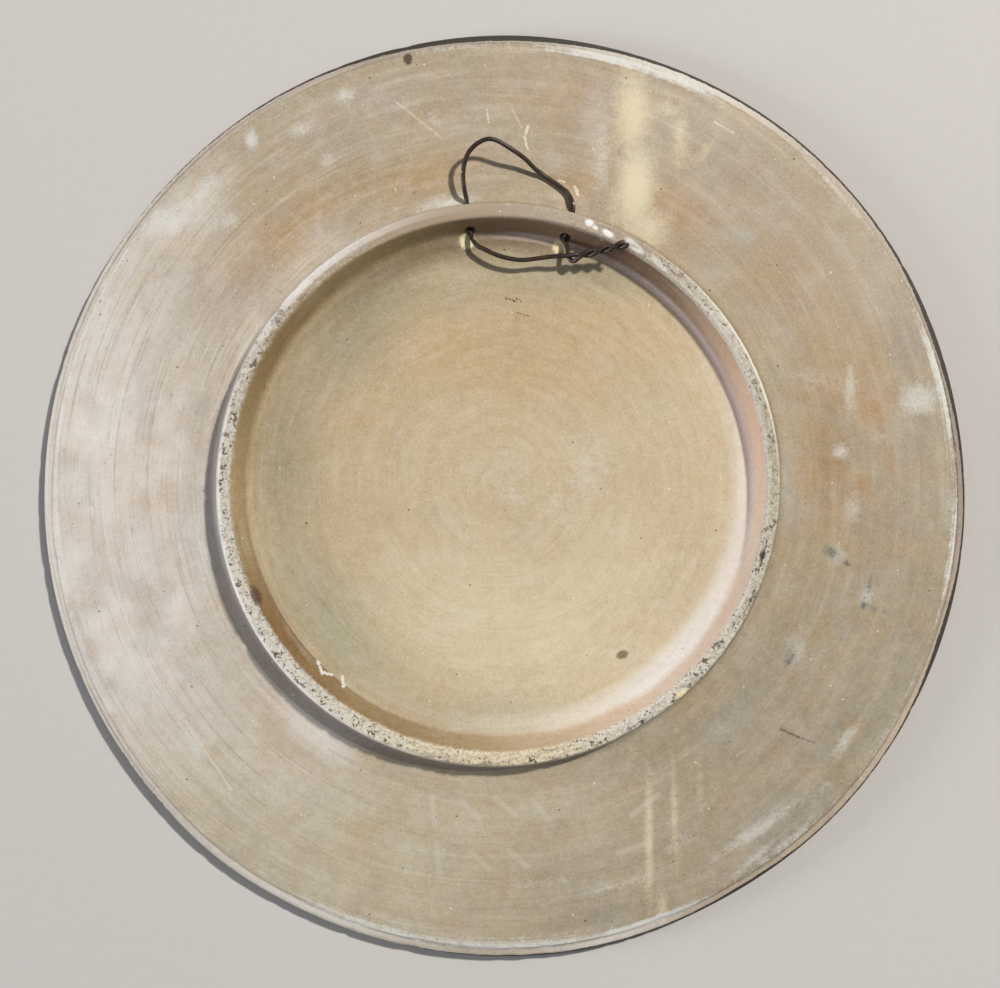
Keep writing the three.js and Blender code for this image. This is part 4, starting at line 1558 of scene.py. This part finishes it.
frontPaint = {
    "ground": "#2b2521",
    "groundWarm": "#40322a",
    "well": "#74412a",
    "wellDark": "#57301f",
    "ochre": "#b98543",
    "cream": "#d8c49a",
    "bareClay": "#b2764b",
    "leaves": 26,
    "leafMiddle": 132.0,
    "leafHalfLength": 12.0,
    "leafHalfWidth": 5.2,
    "wellRadius": 90.0,
    # radius, half width, colour
    "bands": [
        (155.0, 1.6, "ochre"), (150.6, 0.6, "cream"), (113.0, 0.6, "cream"), (109.6, 1.1, "ochre"),
        (90.0, 0.9, "cream"),
    ],
    "patchy": (0.18, 4.0, 0.65),  # scale for each millimetre, detail, roughness
    "brush": {"Fineness": 0.8, "Shortness": 3.0},
    "wavering": 1.6,  # how far a painted line strays
    "veinHalfWidth": 0.6,
    "rubbedEdge": (157.0, 162.0),
    "specks": {"Spacing": 3.2, "Size": 0.3, "Pale_Share": 0.07, "Dark_Share": 0.1},
    "roughness": (0.32, 0.6),
    "bump": (0.3, 0.15),
}


def makeFrontPaint():
    material, tree = newMaterial("frontPaint")
    coords = useGroup(tree, plateCoords).outputs
    radius = coords["Rim Radius"]
    patchy = noise(tree, coords["Place"], *frontPaint["patchy"])
    brush = useGroup(tree, turnedStreaks, Turned=coords["Turned"], **frontPaint["brush"]).outputs["Streak"]
    wavering = centred(tree, patchy, frontPaint["wavering"])

    def painted(colour, mask, name):
        return layer(tree, mask, colour, tone(frontPaint[name]))

    colour = painted(tone(frontPaint["ground"]), fade(tree, patchy, 0.35, 0.7), "groundWarm")
    well = painted(tone(frontPaint["well"]), fade(tree, brush, 0.35, 0.65), "wellDark")
    handDrawn = calc(tree, "ADD", radius, wavering)
    wellRadius = frontPaint["wellRadius"]
    colour = layer(tree, fade(tree, handDrawn, wellRadius + 0.3, wellRadius - 0.3), colour, well)
    for bandRadius, halfWidth, name in frontPaint["bands"]:
        away = calc(tree, "ABSOLUTE", calc(tree, "SUBTRACT", handDrawn, bandRadius))
        colour = painted(colour, fade(tree, away, halfWidth + 0.2, halfWidth - 0.2), name)

    # a border of plain single leaves
    split = addNode(tree, "ShaderNodeSeparateXYZ")
    plug(tree, split.inputs[0], coords["Place"])
    turn = calc(tree, "ARCTAN2", split.outputs[1], split.outputs[0])
    leafTurn = 2 * math.pi / frontPaint["leaves"]
    counted = calc(tree, "ADD", strengthOf(tree, turn, 1.0 / leafTurn), 100.0)  # kept above zero
    across = calc(tree, "ABSOLUTE", calc(tree, "SUBTRACT", calc(tree, "FRACT", counted), 0.5))
    across = both(tree, across, strengthOf(tree, radius, leafTurn))
    along = calc(tree, "SUBTRACT", radius, frontPaint["leafMiddle"])
    along = calc(tree, "DIVIDE", along, frontPaint["leafHalfLength"])
    swell = calc(tree, "SUBTRACT", 1.0, calc(tree, "MULTIPLY", along, along))
    edge = calc(tree, "SUBTRACT", across, strengthOf(tree, swell, frontPaint["leafHalfWidth"]))
    edge = calc(tree, "ADD", edge, strengthOf(tree, wavering, 0.5))
    onLeaf = fade(tree, edge, 0.25, -0.25)
    colour = painted(colour, onLeaf, "ochre")
    veinHalf = frontPaint["veinHalfWidth"]
    vein = both(tree, onLeaf, fade(tree, across, veinHalf + 0.15, veinHalf - 0.15))
    colour = painted(colour, vein, "ground")

    rubbed = both(tree, fade(tree, radius, *frontPaint["rubbedEdge"]), fade(tree, patchy, 0.56, 0.68))
    colour = painted(colour, rubbed, "bareClay")
    specks = useGroup(tree, speckle, Place=coords["Place"], **frontPaint["specks"])
    colour = painted(colour, specks.outputs["Pale"], "bareClay")
    colour = painted(colour, specks.outputs["Dark"], "ground")
    finishSurface(tree, colour, patchy, frontPaint["roughness"], brush, frontPaint["bump"])
    return material


# wire hanger finish

ironFinish = {
    "dark": "#251d17",
    "rust": "#4a3626",
    "grey": "#8d857a",
    "fleck": "#c9b78f",
    # scale for each millimetre, detail, roughness
    "patches": (0.45, 3.0, 0.65),
    "scale": (2.6, 2.0, 0.6),
    "rubbedStrength": 0.6,
    "metallic": 0.8,
    "specks": {"Spacing": 1.5, "Size": 0.5, "Pale_Share": 0.16, "Dark_Share": 0.2},
    "speckStrength": 0.8,
    "roughness": (0.26, 0.6),
    "bump": (0.4, 0.12),
}


def makeIron():
    material, tree = newMaterial("rustyIron")
    place = useGroup(tree, plateCoords).outputs["Place"]
    patches = noise(tree, place, *ironFinish["patches"])
    scale = noise(tree, place, *ironFinish["scale"])
    colour = layer(tree, fade(tree, patches, 0.42, 0.68), tone(ironFinish["dark"]), tone(ironFinish["rust"]))
    rubbed = both(tree, fade(tree, scale, 0.5, 0.72), fade(tree, patches, 0.58, 0.4))
    worn = strengthOf(tree, rubbed, ironFinish["rubbedStrength"])
    colour = layer(tree, worn, colour, tone(ironFinish["grey"]))
    specks = useGroup(tree, speckle, Place=place, **ironFinish["specks"])
    flecks = strengthOf(tree, specks.outputs["Pale"], ironFinish["speckStrength"])
    colour = layer(tree, flecks, colour, tone(ironFinish["fleck"]))
    shader = tree.nodes["Principled BSDF"]
    plug(tree, shader.inputs["Metallic"], strengthOf(tree, rubbed, ironFinish["metallic"]))
    finishSurface(tree, colour, scale, ironFinish["roughness"], scale, ironFinish["bump"])
    return material


# each face of the back takes its zone's clay, and the front its paint
def splitBack(mesh):
    count = len(mesh.polygons)
    sides = np.empty(count, np.int32)
    mesh.polygons.foreach_get("material_index", sides)
    middles = np.empty(count * 3)
    mesh.polygons.foreach_get("center", middles)
    x, y, _ = middles.reshape(-1, 3).T / mm
    zones = np.where(sides == 1, len(backClay["zones"]), zoneNumbers(x, y))
    mesh.polygons.foreach_set("material_index", zones.astype(np.int32))


splitBack(plate.data)
for zone in range(len(backClay["zones"])):
    plate.data.materials.append(makeBackClay(zone))
plate.data.materials.append(makeFrontPaint())
wire.data.materials.append(makeIron())
print("materials built")

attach(plate, "root")
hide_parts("plate")
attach(wire, "root")
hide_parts("wire_hanger")

# floor, lights and camera

stageValues = {
    "floorSize": 3.0,  # metres
    "floorColour": "#d6d4d0",
    "floorShades": (0.97, 1.02),
    "floorGrain": 260.0,
    "floorRoughness": 0.9,
    "skyColour": "#e4e8ee",
    "skyStrength": 0.15,
    # azimuth, elevation in degrees, distance and size in metres, watts, colour
    "key": (40.0, 49.5, 3.0, 0.22, 78.0, "#fff9f2"),
    "window": (186.0, 12.0, 3.0, 1.0, 58.0, "#f6f7ff"),
    "cameraPlace": (-1.65, 0.57, 604.0),
    "cameraWidth": 358.3,  # how much of the rim's plane the picture spans
    "rimPlane": 4.0,
    "sensorWidth": 36.0,
}


def makeFloor():
    half = stageValues["floorSize"] / 2
    mesh = bpy.data.meshes.new("studioFloor")
    corners = [(-half, -half, 0), (half, -half, 0), (half, half, 0), (-half, half, 0)]
    mesh.from_pydata(corners, [], [(0, 1, 2, 3)])
    floor = bpy.data.objects.new("studio_floor", mesh)
    bpy.context.scene.collection.objects.link(floor)
    material, tree = newMaterial("paleFloor")
    where = addNode(tree, "ShaderNodeTexCoord").outputs["Object"]
    speckled = noise(tree, where, stageValues["floorGrain"])
    pale = Vector(tone(stageValues["floorColour"])[:3])
    dark, light = [(*(pale * shade), 1.0) for shade in stageValues["floorShades"]]
    colour = layer(tree, speckled, dark, light)
    shader = tree.nodes["Principled BSDF"]
    plug(tree, shader.inputs["Base Color"], colour)
    shader.inputs["Roughness"].default_value = stageValues["floorRoughness"]
    mesh.materials.append(material)


def addLamp(name, azimuth, elevation, distance, size, watts, colour):
    lamp = bpy.data.lights.new(name, "AREA")
    lamp.shape = "DISK"
    lamp.size = size
    lamp.energy = watts
    lamp.color = tone(colour)[:3]
    holder = bpy.data.objects.new(name, lamp)
    flat = math.cos(math.radians(elevation)) * distance
    turn = math.radians(azimuth)
    height = math.sin(math.radians(elevation)) * distance
    holder.location = (flat * math.cos(turn), flat * math.sin(turn), height)
    holder.rotation_euler = (-Vector(holder.location)).to_track_quat("-Z", "Y").to_euler()
    bpy.context.scene.collection.objects.link(holder)


makeFloor()
addLamp("keyLamp", *stageValues["key"])
addLamp("windowLamp", *stageValues["window"])
world = bpy.data.worlds.new("softRoom")
world.use_nodes = True
world.node_tree.nodes["Background"].inputs["Color"].default_value = tone(stageValues["skyColour"])
world.node_tree.nodes["Background"].inputs["Strength"].default_value = stageValues["skyStrength"]
bpy.context.scene.world = world
bpy.context.scene.view_settings.view_transform = "Standard"

camera = bpy.data.cameras.new("photoCamera")
cameraHolder = bpy.data.objects.new("photoCamera", camera)
cameraHolder.location = Vector(stageValues["cameraPlace"]) * mm
camera.sensor_fit = "HORIZONTAL"
camera.sensor_width = stageValues["sensorWidth"]
cameraHeight = stageValues["cameraPlace"][2] - stageValues["rimPlane"]
camera.lens = stageValues["sensorWidth"] * cameraHeight / stageValues["cameraWidth"]
camera.clip_start = 0.02
bpy.context.scene.collection.objects.link(cameraHolder)
bpy.context.scene.camera = cameraHolder
print("stage set")
